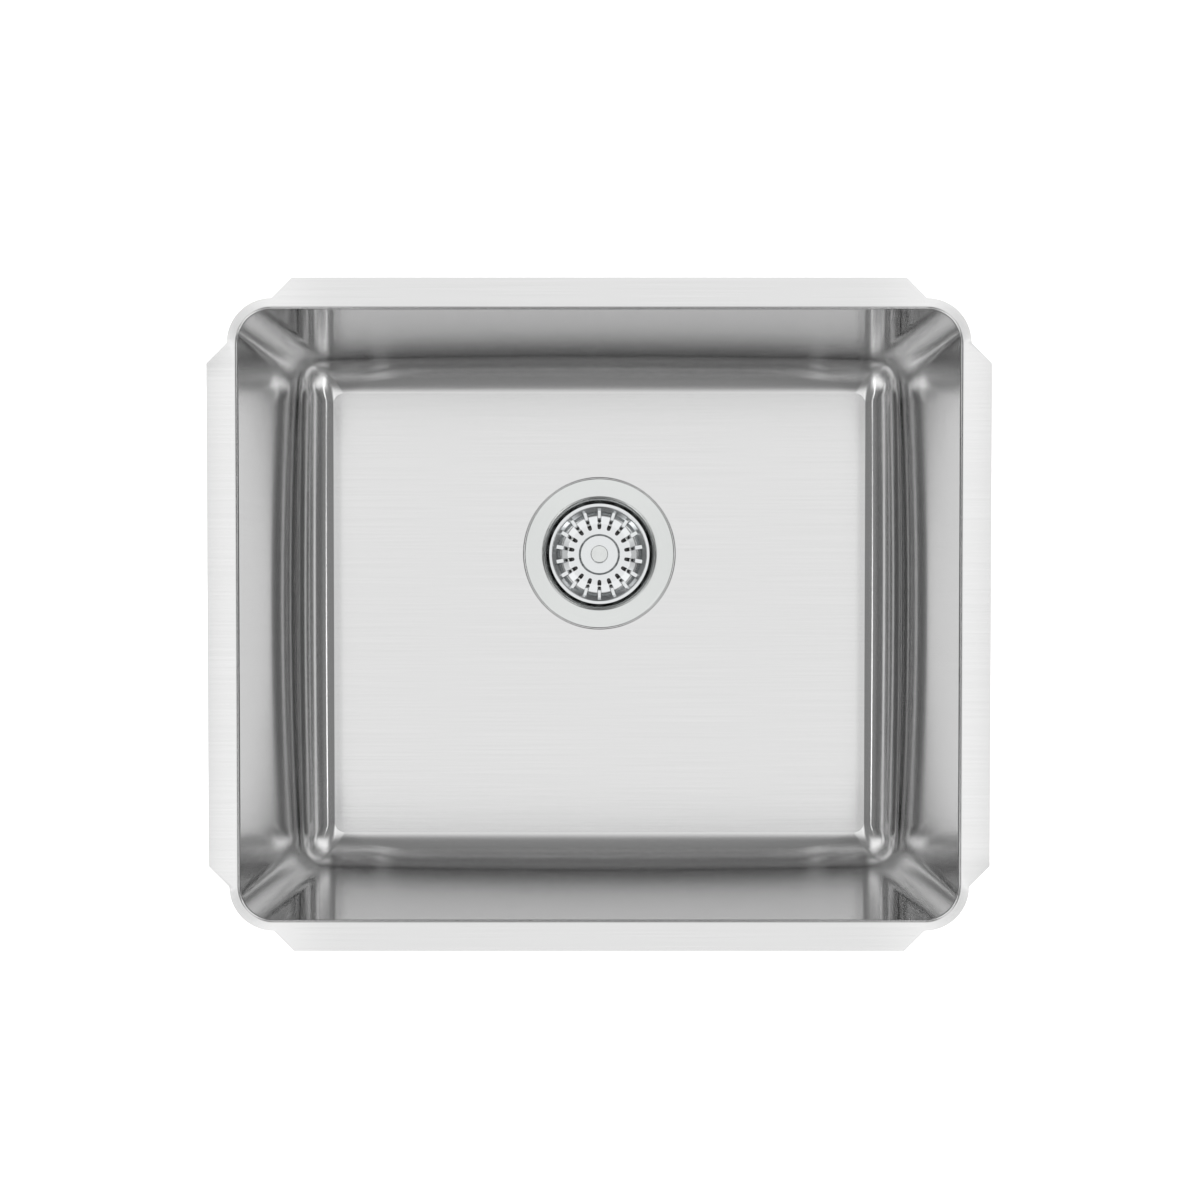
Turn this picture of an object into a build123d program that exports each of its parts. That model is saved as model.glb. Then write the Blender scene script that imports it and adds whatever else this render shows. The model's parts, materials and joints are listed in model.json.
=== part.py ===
from build123d import *
from math import cos, radians, sin, tan
import os

# Undermount kitchen sink with a removable basket strainer.
# Millimetres: +X to the right, +Y to the rear, +Z up. The origin is the centre of the bowl's
# opening on the top face of the flange, the face that is pressed up against the counter.

# Bowl and flange
OPENING_LENGTH = 460.0  # between the left and right walls
OPENING_WIDTH = 390.0  # between the front and rear walls
BOWL_DEPTH = 200.0  # flange top to bowl floor
SHEET = 1.2  # steel sheet
WALL_DRAFT = 1.2  # degrees that the walls lean inwards on their way down
CORNER_RADIUS = 21.5  # upright corners, inside
FLOOR_CORNER_RADIUS = 8.0  # corners of the flat floor
FLOOR_INSET = 27.0  # opening's edge to the flat floor, in plan
FLOOR_CREASE = 14.0  # degrees at which the floor bend meets the floor
BEND_STEPS = 6  # steps of the plan sections that shape the floor bend
RIM_BEND_RADIUS = 2.2  # flange to wall, on the upper side
FLANGE_RIM = 20.0  # flange width along the four sides
CORNER_RIM = 7.0  # flange width round the four corners

# Drain hole and the recess round it
DRAIN_X = 0.0
DRAIN_Y = 46.0
RECESS_DEPTH = 3.0
RECESS_GAP = 0.6  # round the strainer's flange
RECESS_EDGE_RADIUS = 0.8
HOLE_GAP = 0.8  # round the strainer's thread

# Sound-deadening pads
PAD_THICKNESS = 3.0
PAD_CORNER_RADIUS = 12.0
PAD_END_MARGIN = 65.0  # wall pad to the neighbouring walls
PAD_TOP_MARGIN = 45.0  # wall pad to the flange
PAD_BOTTOM_MARGIN = 45.0  # wall pad to the bowl floor
PAD_DRAIN_MARGIN = 8.0  # floor pad to the drain recess
PAD_BEND_MARGIN = 5.0  # floor pad to the side bends
PAD_FRONT_MARGIN = 18.0  # floor pad to the front and rear bends

# Strainer body
STRAINER_FLANGE_THICKNESS = 2.0
STRAINER_FLANGE_OVERLAP = 12.65  # flange beyond the sink's hole
STRAINER_FLANGE_EDGE_RADIUS = 0.8
CUP_MOUTH_RADIUS = 41.8
CUP_LIP_RADIUS = 2.8
CUP_TAPER = 4.0  # mouth radius less foot radius
CUP_DEPTH = 38.0  # strainer flange top to seal seat
CUP_WALL = 1.2
CUP_FLOOR_THICKNESS = 1.8
CUP_FOOT_ROUNDING = 3.0
SEAT_EDGE_RADIUS = 0.5
CUP_THREAD_HEIGHT = 0.7
CUP_THREAD_PITCH = 2.4
CUP_THREAD_TURNS = 9
NECK_LENGTH = 22.0  # below the cup's floor
NECK_WALL = 4.25
NECK_THREAD_HEIGHT = 0.6
NECK_THREAD_PITCH = 2.2
NECK_THREAD_TURNS = 7
NECK_THREAD_LEAD = 1.1  # plain neck below the thread
THREAD_FLANK = 0.3  # of the pitch
THREAD_CREST = 0.2  # of the pitch
BRIDGE_LEDGE = 1.0  # step in the neck's bore that carries the bridge

# Rings and nut under the sink
FLANGE_GASKET_THICKNESS = 1.2
FLANGE_GASKET_EDGE = 1.0  # gasket inside the strainer flange's edge
UNDER_GASKET_THICKNESS = 3.0
FRICTION_WASHER_THICKNESS = 1.0
UNDER_RING_WIDTH = 12.0
THREAD_CLEARANCE = 0.15  # rings and nuts round a thread
LOCKNUT_HEIGHT = 10.0
LOCKNUT_FLANGE_HEIGHT = 2.6
LOCKNUT_WALL = 5.0
LOCKNUT_LUG_COUNT = 6
LOCKNUT_LUG_WIDTH = 10.0
LOCKNUT_LUG_REACH = 5.5
LOCKNUT_CHAMFER = 0.6

# Socket bridge in the neck
BRIDGE_HEIGHT = 4.0
BRIDGE_DROP = 8.0  # seal seat to bridge top
BRIDGE_RING_WALL = 1.4
BRIDGE_HUB_RADIUS = 7.0
BRIDGE_ARM_COUNT = 4
BRIDGE_ARM_WIDTH = 3.2
BRIDGE_FIT = 0.05  # bridge ring in the bore
STEM_GAP = 0.3  # stem in the bridge's hub

# Tailpiece and coupling
TAILPIECE_RADIUS = 19.05
TAILPIECE_WALL = 1.0
TAILPIECE_LENGTH = 100.0
TAILPIECE_FLANGE_THICKNESS = 1.2
TAILPIECE_MOUTH_RADIUS = 0.5
TAILPIECE_FLANGE_GAP = 0.7  # flange edge to the coupling nut's thread
TAILPIECE_SHOULDER_LENGTH = 4.0  # taper that stiffens the tube under its flange
TAILPIECE_SHOULDER_RISE = 0.25  # taper's radius beyond the tube's
TAIL_WASHER_THICKNESS = 2.2
TAIL_WASHER_COLLAR = 3.5  # collar that centres it in the neck
TAIL_WASHER_COLLAR_WALL = 0.9
TAIL_WASHER_FIT = 0.2
COUPLING_HEIGHT = 20.0
COUPLING_LIP_THICKNESS = 3.0
COUPLING_WALL = 4.5
COUPLING_SIDES = 8
COUPLING_CHAMFER = 1.2
COUPLING_TUBE_GAP = 0.35

# Stem, knob and stopper
STEM_RADIUS = 3.0
STEM_SHOULDER = 0.5  # journal radius beyond the stem's
STEM_TOP_ROUNDING = 0.4
STEM_COLLAR_RADIUS = 5.5
STEM_COLLAR_THICKNESS = 1.2
STEM_TIP_LENGTH = 3.0  # stem below the bridge
STEM_TIP_CHAMFER = 1.0
CLIP_THICKNESS = 0.8
CLIP_GROOVE_DEPTH = 0.7
CLIP_RADIUS = 6.0
CLIP_MOUTH = 4.2
SEAL_GAP = 0.3  # seal above its seat, and other resting gaps of the moving pieces
SEAL_THICKNESS = 4.4
SEAL_LIP_HEIGHT = 1.2
SEAL_EDGE_RADIUS = 0.4
SEAL_OVERLAP = 4.0  # seal beyond the neck's bore
SEAL_CONE = 2.0  # seal radius at the foot less that at the top
BACKING_WASHER_THICKNESS = 1.2
BACKING_WASHER_INSET = 3.0
STEM_NUT_WIDTH = 10.0  # across flats
STEM_NUT_HEIGHT = 5.0
SHAFT_FIT = 0.05  # pieces threaded or turning on the stem
KNOB_RADIUS = 6.7
KNOB_HEIGHT = 15.0  # knob top above the basket's floor
KNOB_HEAD_HEIGHT = 7.5
KNOB_WAIST_RADIUS = 4.6
KNOB_EDGE_RADIUS = 0.6
KNOB_BORE_DEPTH = 9.0

# Basket
BASKET_SHEET = 0.8
BASKET_DEPTH = 18.0  # rim top to floor
BASKET_RIM_GAP = 1.7  # rim to the cup's wall
BASKET_RIM_WIDTH = 3.0
BASKET_FLOOR_RADIUS = 21.2
BASKET_WALL_RUN = 2.6  # floor edge to shelf, in plan
BASKET_SHELF_RUN = 8.0  # shelf round the floor, in plan
BASKET_SHELF_RISE = 1.2
BASKET_BEND_RADIUS = 3.0
BASKET_RIM_BEND_RADIUS = 1.6
BASKET_BOSS_RADIUS = 15.75
BASKET_BOSS_HEIGHT = 1.8
BASKET_BOSS_SLOPE = 0.9
BASKET_BOSS_BEND_RADIUS = 0.9
SLOT_COUNT = 18
SLOT_LENGTH = 5.4
SLOT_WIDTH = 3.0
RIB_WIDTH = 3.0
RIB_DROP = 8.7  # basket rim to rib top
RIB_FOOT_MARGIN = 1.4  # rib foot from the shelf's inner edge
RIB_LEAN = 2.0  # run of the rib's sloping inner end, in plan

# Heights and radii that follow from the sizes above
flange_length = OPENING_LENGTH + 2 * FLANGE_RIM
flange_width = OPENING_WIDTH + 2 * FLANGE_RIM
draft = radians(WALL_DRAFT)
bend_end = radians(90 - FLOOR_CREASE)
bend_across = cos(draft) - cos(bend_end)
bend_down = sin(bend_end) - sin(draft)
bend_radius = (FLOOR_INSET - BOWL_DEPTH * tan(draft)) / (bend_across - bend_down * tan(draft))
bend_top_z = bend_radius * bend_down - BOWL_DEPTH
wall_foot_inset = -bend_top_z * tan(draft)
floor_z = -BOWL_DEPTH
recess_z = floor_z - RECESS_DEPTH
strainer_top_z = recess_z + FLANGE_GASKET_THICKNESS + STRAINER_FLANGE_THICKNESS
seat_z = strainer_top_z - CUP_DEPTH
cup_root_radius = CUP_MOUTH_RADIUS + CUP_WALL
cup_thread_radius = cup_root_radius + CUP_THREAD_HEIGHT
cup_foot_radius = CUP_MOUTH_RADIUS - CUP_TAPER
hole_radius = cup_thread_radius + HOLE_GAP
strainer_flange_radius = hole_radius + STRAINER_FLANGE_OVERLAP
recess_radius = strainer_flange_radius + RECESS_GAP
neck_bore_radius = TAILPIECE_RADIUS
neck_seat_radius = neck_bore_radius + BRIDGE_LEDGE
neck_root_radius = TAILPIECE_RADIUS + NECK_WALL
neck_thread_radius = neck_root_radius + NECK_THREAD_HEIGHT
neck_top_z = seat_z - CUP_FLOOR_THICKNESS
neck_end_z = neck_top_z - NECK_LENGTH
bridge_top_z = seat_z - BRIDGE_DROP
bridge_foot_z = bridge_top_z - BRIDGE_HEIGHT
under_sink_z = recess_z - SHEET
seal_foot_z = seat_z + SEAL_GAP
seal_top_z = seal_foot_z + SEAL_THICKNESS
backing_top_z = seal_top_z + BACKING_WASHER_THICKNESS
basket_floor_z = backing_top_z + SEAL_GAP + BASKET_SHEET
boss_top_z = basket_floor_z + BASKET_BOSS_HEIGHT
basket_rim_z = basket_floor_z + BASKET_DEPTH
knob_top_z = basket_floor_z + KNOB_HEIGHT
journal_radius = STEM_RADIUS + STEM_SHOULDER

drain_plane = Plane(origin=(DRAIN_X, DRAIN_Y, 0), x_dir=(1, 0, 0), z_dir=(0, 0, 1))
section_plane = Plane(origin=(DRAIN_X, DRAIN_Y, 0), x_dir=(1, 0, 0), z_dir=(0, -1, 0))
drain_axis = Axis((DRAIN_X, DRAIN_Y, 0), (0, 0, 1))

os.makedirs("parts", exist_ok=True)


def save(builder, name):
    """Label a finished piece and write it to its own STEP file."""
    builder.part.label = name
    export_step(builder.part, f"parts/{name}.step")


def cup_radius(height):
    """Give the inside radius of the strainer's tapered cup at a height."""
    return CUP_MOUTH_RADIUS - CUP_TAPER * (strainer_top_z - height) / CUP_DEPTH


def half_section(corners):
    """Draw a closed half section beside the drain's axis from (radius, height, rounding)."""
    points = [(radius, height) for radius, height, _ in corners]
    roundings = [rounding for _, _, rounding in corners]
    with BuildSketch(section_plane, mode=Mode.PRIVATE) as section:
        with BuildLine():
            FilletPolyline(*points, radius=roundings, close=True)
        make_face()
    return section.sketch


def thread_corners(root, crest, top, pitch, turns):
    """List the corners of a thread's ridges, from the top down."""
    corners = []
    for turn in range(turns):
        ridge_top = top - turn * pitch
        corners.append((root, ridge_top, 0))
        crest_top = ridge_top - THREAD_FLANK * pitch
        crest_foot = crest_top - THREAD_CREST * pitch
        corners.append((crest, crest_top, 0))
        corners.append((crest, crest_foot, 0))
        corners.append((root, crest_foot - THREAD_FLANK * pitch, 0))
    return corners


def bowl_section(inset, height, growth):
    """Draw the bowl's plan section at an inset from the opening, grown outwards."""
    corner = CORNER_RADIUS + (FLOOR_CORNER_RADIUS - CORNER_RADIUS) * inset / FLOOR_INSET
    length = OPENING_LENGTH - 2 * inset + 2 * growth
    width = OPENING_WIDTH - 2 * inset + 2 * growth
    with BuildSketch(Plane.XY.offset(height), mode=Mode.PRIVATE) as plan:
        RectangleRounded(length, width, corner + growth)
    return plan.sketch


def wall_sections(wall):
    """Draw the walls' upper and lower plan sections, on the inside grown outwards by a wall."""
    return [bowl_section(0, 0, wall), bowl_section(wall_foot_inset, bend_top_z, wall)]


def bend_sections(wall):
    """Draw the floor bend's plan sections, from the walls' foot down to the floor."""
    sections = []
    for step in range(BEND_STEPS + 1):
        turn = draft + (bend_end - draft) * step / BEND_STEPS
        inset = wall_foot_inset + bend_radius * (cos(draft) - cos(turn))
        share = (sin(turn) - sin(draft)) / bend_down
        height = bend_top_z - (BOWL_DEPTH + bend_top_z + wall) * share
        sections.append(bowl_section(inset, height, wall * cos(turn) / cos(draft)))
    return sections


# Sink bowl: one sheet-steel shell with its flange, drain recess and drain hole

with BuildPart() as sink_bowl:
    # Flange: a band that follows the opening, with four straight flaps cut back at 45 degrees
    flap_cut = FLANGE_RIM - CORNER_RIM
    straight_length = OPENING_LENGTH - 2 * CORNER_RADIUS
    straight_width = OPENING_WIDTH - 2 * CORNER_RADIUS
    with BuildSketch(mode=Mode.PRIVATE) as side_flaps:
        Rectangle(flange_length, straight_width)
        chamfer(side_flaps.vertices(), flap_cut)
    with BuildSketch(mode=Mode.PRIVATE) as end_flaps:
        Rectangle(straight_length, flange_width)
        chamfer(end_flaps.vertices(), flap_cut)
    with BuildSketch():
        RectangleRounded(
            OPENING_LENGTH + 2 * CORNER_RIM, OPENING_WIDTH + 2 * CORNER_RIM, CORNER_RADIUS + CORNER_RIM
        )
        add(side_flaps.sketch)
        add(end_flaps.sketch)
    extrude(amount=-SHEET)

    # Outside of the walls, the floor bend and the drain recess
    loft(wall_sections(SHEET), ruled=True)
    loft(bend_sections(SHEET))
    with BuildSketch(drain_plane.offset(floor_z)):
        Circle(recess_radius + SHEET)
    extrude(amount=-RECESS_DEPTH - SHEET)

    # Inside of the walls, the floor bend, the drain recess and the drain hole
    loft(wall_sections(0), ruled=True, mode=Mode.SUBTRACT)
    loft(bend_sections(0), mode=Mode.SUBTRACT)
    with BuildSketch(drain_plane.offset(floor_z)):
        Circle(recess_radius)
    extrude(amount=-RECESS_DEPTH, mode=Mode.SUBTRACT)
    with BuildSketch(drain_plane.offset(recess_z)):
        Circle(hole_radius)
    extrude(amount=-SHEET, mode=Mode.SUBTRACT)

    # Bends between the flange and the walls, and the recess's soft edge
    flat_faces = sink_bowl.faces().filter_by(Axis.Z).sort_by(Axis.Z)
    fillet(flat_faces[-1].inner_wires()[0].edges(), RIM_BEND_RADIUS)
    flange_underside = sink_bowl.faces().filter_by(Axis.Z).sort_by(Axis.Z)[-2]
    fillet(flange_underside.inner_wires()[0].edges(), RIM_BEND_RADIUS - SHEET)
    recess_edge = sink_bowl.edges().filter_by(GeomType.CIRCLE).filter_by(
        lambda edge: abs(edge.radius - recess_radius) < 0.01 and abs(edge.center().Z - floor_z) < 0.01
    )
    fillet(recess_edge, RECESS_EDGE_RADIUS)
save(sink_bowl, "sink_bowl")


# Sound-deadening pads: rubber sheets bonded under the floor and on the outside of the walls

floor_pad_near = recess_radius + SHEET + PAD_DRAIN_MARGIN
floor_pad_far = OPENING_LENGTH / 2 - FLOOR_INSET - PAD_BEND_MARGIN
floor_pad_length = floor_pad_far - floor_pad_near
floor_pad_width = OPENING_WIDTH - 2 * (FLOOR_INSET + PAD_FRONT_MARGIN)
floor_pad_plane = Plane.XY.offset(floor_z - SHEET)
wall_pad_height = BOWL_DEPTH - PAD_TOP_MARGIN - PAD_BOTTOM_MARGIN
wall_pad_z = -PAD_TOP_MARGIN - wall_pad_height / 2
side_wall_x = OPENING_LENGTH / 2 + SHEET + wall_pad_z * tan(draft)
end_wall_y = OPENING_WIDTH / 2 + SHEET + wall_pad_z * tan(draft)

for side, direction in (("left", -1), ("right", 1)):
    with BuildPart() as floor_pad:
        with BuildSketch(floor_pad_plane):
            with Locations((direction * (floor_pad_near + floor_pad_far) / 2, 0)):
                RectangleRounded(floor_pad_length, floor_pad_width, PAD_CORNER_RADIUS)
        extrude(amount=-PAD_THICKNESS)
    save(floor_pad, f"sound_pad_floor_{side}")

    wall_plane = Plane(
        origin=(direction * side_wall_x, 0, wall_pad_z),
        x_dir=(0, 1, 0),
        z_dir=(direction * cos(draft), 0, -sin(draft)),
    )
    with BuildPart() as wall_pad:
        with BuildSketch(wall_plane):
            RectangleRounded(OPENING_WIDTH - 2 * PAD_END_MARGIN, wall_pad_height, PAD_CORNER_RADIUS)
        extrude(amount=PAD_THICKNESS)
    save(wall_pad, f"sound_pad_{side}")

for side, direction in (("front", -1), ("rear", 1)):
    wall_plane = Plane(
        origin=(0, direction * end_wall_y, wall_pad_z),
        x_dir=(1, 0, 0),
        z_dir=(0, direction * cos(draft), -sin(draft)),
    )
    with BuildPart() as wall_pad:
        with BuildSketch(wall_plane):
            RectangleRounded(OPENING_LENGTH - 2 * PAD_END_MARGIN, wall_pad_height, PAD_CORNER_RADIUS)
        extrude(amount=PAD_THICKNESS)
    save(wall_pad, f"sound_pad_{side}")


# Strainer body: flange, tapered cup with its outside thread, seal seat and threaded neck

flange_underside_z = strainer_top_z - STRAINER_FLANGE_THICKNESS
cup_thread_top_z = flange_underside_z - CUP_THREAD_PITCH
cup_thread_end_z = cup_thread_top_z - CUP_THREAD_PITCH * CUP_THREAD_TURNS
cup_step_z = cup_thread_end_z - CUP_THREAD_PITCH / 2
neck_thread_top_z = neck_end_z + NECK_THREAD_LEAD + NECK_THREAD_PITCH * NECK_THREAD_TURNS

with BuildPart() as strainer_body:
    revolve(
        half_section(
            [
                (CUP_MOUTH_RADIUS, strainer_top_z, CUP_LIP_RADIUS),
                (strainer_flange_radius, strainer_top_z, STRAINER_FLANGE_EDGE_RADIUS),
                (strainer_flange_radius, flange_underside_z, 0),
                (cup_root_radius, flange_underside_z, 0),
            ]
            + thread_corners(
                cup_root_radius, cup_thread_radius, cup_thread_top_z, CUP_THREAD_PITCH, CUP_THREAD_TURNS
            )
            + [
                (cup_root_radius, cup_thread_end_z, 0),
                (cup_radius(cup_step_z) + CUP_WALL, cup_step_z, 0),
                (cup_foot_radius + CUP_WALL, neck_top_z, CUP_FOOT_ROUNDING),
                (neck_root_radius, neck_top_z, 0),
            ]
            + thread_corners(
                neck_root_radius,
                neck_thread_radius,
                neck_thread_top_z,
                NECK_THREAD_PITCH,
                NECK_THREAD_TURNS,
            )
            + [
                (neck_root_radius, neck_end_z, 0),
                (neck_bore_radius, neck_end_z, 0),
                (neck_bore_radius, bridge_foot_z, 0),
                (neck_seat_radius, bridge_foot_z, 0),
                (neck_seat_radius, seat_z, SEAT_EDGE_RADIUS),
                (cup_foot_radius, seat_z, CUP_FOOT_ROUNDING),
            ]
        ),
        axis=drain_axis,
    )
save(strainer_body, "strainer_body")


# Rings that seal the strainer to the sink, and the nut that draws it down

ring_inner_radius = cup_thread_radius + THREAD_CLEARANCE
ring_outer_radius = ring_inner_radius + UNDER_RING_WIDTH
washer_top_z = under_sink_z - UNDER_GASKET_THICKNESS
locknut_top_z = washer_top_z - FRICTION_WASHER_THICKNESS
locknut_body_radius = ring_inner_radius + LOCKNUT_WALL

with BuildPart() as flange_gasket:
    with BuildSketch(drain_plane.offset(recess_z)):
        Circle(strainer_flange_radius - FLANGE_GASKET_EDGE)
        Circle(hole_radius, mode=Mode.SUBTRACT)
    extrude(amount=FLANGE_GASKET_THICKNESS)
save(flange_gasket, "flange_gasket")

with BuildPart() as under_sink_gasket:
    with BuildSketch(drain_plane.offset(under_sink_z)):
        Circle(ring_outer_radius)
        Circle(ring_inner_radius, mode=Mode.SUBTRACT)
    extrude(amount=-UNDER_GASKET_THICKNESS)
save(under_sink_gasket, "under_sink_gasket")

with BuildPart() as friction_washer:
    with BuildSketch(drain_plane.offset(washer_top_z)):
        Circle(ring_outer_radius)
        Circle(ring_inner_radius, mode=Mode.SUBTRACT)
    extrude(amount=-FRICTION_WASHER_THICKNESS)
save(friction_washer, "friction_washer")

with BuildPart() as locknut:
    with BuildSketch(drain_plane.offset(locknut_top_z)):
        Circle(ring_outer_radius)
    extrude(amount=-LOCKNUT_FLANGE_HEIGHT)
    with BuildSketch(drain_plane.offset(locknut_top_z - LOCKNUT_FLANGE_HEIGHT)):
        Circle(locknut_body_radius)
        with PolarLocations(locknut_body_radius, LOCKNUT_LUG_COUNT):
            Rectangle(2 * LOCKNUT_LUG_REACH, LOCKNUT_LUG_WIDTH)
    extrude(amount=LOCKNUT_FLANGE_HEIGHT - LOCKNUT_HEIGHT)
    with BuildSketch(drain_plane.offset(locknut_top_z)):
        Circle(ring_inner_radius)
    extrude(amount=-LOCKNUT_HEIGHT, mode=Mode.SUBTRACT)
    chamfer(locknut.faces().sort_by(Axis.Z)[0].outer_wire().edges(), LOCKNUT_CHAMFER)
save(locknut, "locknut")


# Socket bridge: the spoked ring in the neck whose hub guides and grips the stem

with BuildPart() as socket_bridge:
    bridge_radius = neck_seat_radius - BRIDGE_FIT
    with BuildSketch(drain_plane.offset(bridge_foot_z)):
        Circle(bridge_radius)
        Circle(bridge_radius - BRIDGE_RING_WALL, mode=Mode.SUBTRACT)
        Circle(BRIDGE_HUB_RADIUS)
        with PolarLocations(bridge_radius / 2, BRIDGE_ARM_COUNT):
            Rectangle(bridge_radius - BRIDGE_RING_WALL, BRIDGE_ARM_WIDTH)
        Circle(STEM_RADIUS + STEM_GAP, mode=Mode.SUBTRACT)
    extrude(amount=BRIDGE_HEIGHT)
save(socket_bridge, "socket_bridge")


# Tailpiece with its washer, and the coupling nut that holds it to the neck

tail_flange_top_z = neck_end_z - TAIL_WASHER_THICKNESS
tail_flange_foot_z = tail_flange_top_z - TAILPIECE_FLANGE_THICKNESS
tailpiece_end_z = tail_flange_foot_z - TAILPIECE_LENGTH
tailpiece_bore_radius = TAILPIECE_RADIUS - TAILPIECE_WALL
coupling_bore_radius = neck_thread_radius + THREAD_CLEARANCE
tail_flange_radius = coupling_bore_radius - TAILPIECE_FLANGE_GAP
collar_radius = neck_bore_radius - TAIL_WASHER_FIT
coupling_foot_z = tail_flange_foot_z - COUPLING_LIP_THICKNESS

with BuildPart() as tailpiece_washer:
    revolve(
        half_section(
            [
                (collar_radius - TAIL_WASHER_COLLAR_WALL, tail_flange_top_z, 0),
                (tail_flange_radius, tail_flange_top_z, 0),
                (tail_flange_radius, neck_end_z, 0),
                (collar_radius, neck_end_z, 0),
                (collar_radius, neck_end_z + TAIL_WASHER_COLLAR, 0),
                (collar_radius - TAIL_WASHER_COLLAR_WALL, neck_end_z + TAIL_WASHER_COLLAR, 0),
            ]
        ),
        axis=drain_axis,
    )
save(tailpiece_washer, "tailpiece_washer")

with BuildPart() as tailpiece:
    revolve(
        half_section(
            [
                (tailpiece_bore_radius, tail_flange_top_z, TAILPIECE_MOUTH_RADIUS),
                (tail_flange_radius, tail_flange_top_z, 0),
                (tail_flange_radius, tail_flange_foot_z, 0),
                (TAILPIECE_RADIUS + TAILPIECE_SHOULDER_RISE, tail_flange_foot_z, 0),
                (TAILPIECE_RADIUS, tail_flange_foot_z - TAILPIECE_SHOULDER_LENGTH, 0),
                (TAILPIECE_RADIUS, tailpiece_end_z, 0),
                (tailpiece_bore_radius, tailpiece_end_z, 0),
            ]
        ),
        axis=drain_axis,
    )
save(tailpiece, "tailpiece")

with BuildPart() as coupling_nut:
    with BuildSketch(drain_plane.offset(coupling_foot_z)):
        RegularPolygon(coupling_bore_radius + COUPLING_WALL, COUPLING_SIDES, major_radius=False)
    extrude(amount=COUPLING_HEIGHT)
    chamfer(coupling_nut.edges().group_by(Axis.Z)[0], COUPLING_CHAMFER)
    with BuildSketch(drain_plane.offset(coupling_foot_z)):
        Circle(TAILPIECE_RADIUS + COUPLING_TUBE_GAP)
    extrude(amount=COUPLING_LIP_THICKNESS, mode=Mode.SUBTRACT)
    with BuildSketch(drain_plane.offset(tail_flange_foot_z)):
        Circle(coupling_bore_radius)
    extrude(amount=COUPLING_HEIGHT - COUPLING_LIP_THICKNESS, mode=Mode.SUBTRACT)
save(coupling_nut, "coupling_nut")


# Stem: collar above the basket, journal, clip groove, shoulder for the seal, and lower tip

collar_foot_z = boss_top_z + SEAL_GAP
collar_top_z = collar_foot_z + STEM_COLLAR_THICKNESS
clip_top_z = boss_top_z - BASKET_SHEET - SEAL_GAP
clip_foot_z = clip_top_z - CLIP_THICKNESS
groove_radius = journal_radius - CLIP_GROOVE_DEPTH
stem_tip_z = bridge_foot_z - STEM_TIP_LENGTH
knob_foot_z = collar_top_z
stem_top_z = knob_foot_z + KNOB_BORE_DEPTH

with BuildPart() as basket_stem:
    revolve(
        half_section(
            [
                (0, stem_top_z, 0),
                (STEM_RADIUS, stem_top_z, STEM_TOP_ROUNDING),
                (STEM_RADIUS, collar_top_z, 0),
                (STEM_COLLAR_RADIUS, collar_top_z, 0),
                (STEM_COLLAR_RADIUS, collar_foot_z, 0),
                (journal_radius, collar_foot_z, 0),
                (journal_radius, clip_top_z, 0),
                (groove_radius, clip_top_z, 0),
                (groove_radius, clip_foot_z, 0),
                (journal_radius, clip_foot_z, 0),
                (journal_radius, backing_top_z, 0),
                (STEM_RADIUS, backing_top_z, 0),
                (STEM_RADIUS, stem_tip_z + STEM_TIP_CHAMFER, 0),
                (STEM_RADIUS - STEM_TIP_CHAMFER, stem_tip_z, 0),
                (0, stem_tip_z, 0),
            ]
        ),
        axis=drain_axis,
    )
save(basket_stem, "basket_stem")

with BuildPart() as basket_knob:
    knob_bore_radius = STEM_RADIUS + SHAFT_FIT
    knob_waist_top_z = knob_top_z - KNOB_HEAD_HEIGHT
    revolve(
        half_section(
            [
                (0, knob_top_z, 0),
                (KNOB_RADIUS, knob_top_z, KNOB_EDGE_RADIUS),
                (KNOB_RADIUS, knob_waist_top_z, KNOB_EDGE_RADIUS),
                (KNOB_WAIST_RADIUS, knob_waist_top_z, KNOB_EDGE_RADIUS),
                (KNOB_WAIST_RADIUS, knob_foot_z, 0),
                (knob_bore_radius, knob_foot_z, 0),
                (knob_bore_radius, stem_top_z + SHAFT_FIT, 0),
                (0, stem_top_z + SHAFT_FIT, 0),
            ]
        ),
        axis=drain_axis,
    )
save(basket_knob, "basket_knob")

with BuildPart() as retaining_clip:
    with BuildSketch(drain_plane.offset(clip_foot_z)):
        Circle(CLIP_RADIUS)
        Circle(groove_radius + SHAFT_FIT, mode=Mode.SUBTRACT)
        with Locations((0, -CLIP_RADIUS / 2)):
            Rectangle(CLIP_MOUTH, CLIP_RADIUS, mode=Mode.SUBTRACT)
    extrude(amount=CLIP_THICKNESS)
save(retaining_clip, "retaining_clip")


# Stopper seal with its backing washer above and its nut below

seal_foot_radius = neck_seat_radius + SEAL_OVERLAP
seal_top_radius = seal_foot_radius - SEAL_CONE

with BuildPart() as seal_backing_washer:
    with BuildSketch(drain_plane.offset(seal_top_z)):
        Circle(seal_top_radius - BACKING_WASHER_INSET)
        Circle(STEM_RADIUS + SHAFT_FIT, mode=Mode.SUBTRACT)
    extrude(amount=BACKING_WASHER_THICKNESS)
save(seal_backing_washer, "seal_backing_washer")

with BuildPart() as stopper_seal:
    revolve(
        half_section(
            [
                (STEM_RADIUS + SHAFT_FIT, seal_foot_z, 0),
                (seal_foot_radius, seal_foot_z, SEAL_EDGE_RADIUS),
                (seal_foot_radius, seal_foot_z + SEAL_LIP_HEIGHT, SEAL_EDGE_RADIUS),
                (seal_top_radius, seal_top_z, SEAL_EDGE_RADIUS),
                (STEM_RADIUS + SHAFT_FIT, seal_top_z, 0),
            ]
        ),
        axis=drain_axis,
    )
save(stopper_seal, "stopper_seal")

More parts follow.
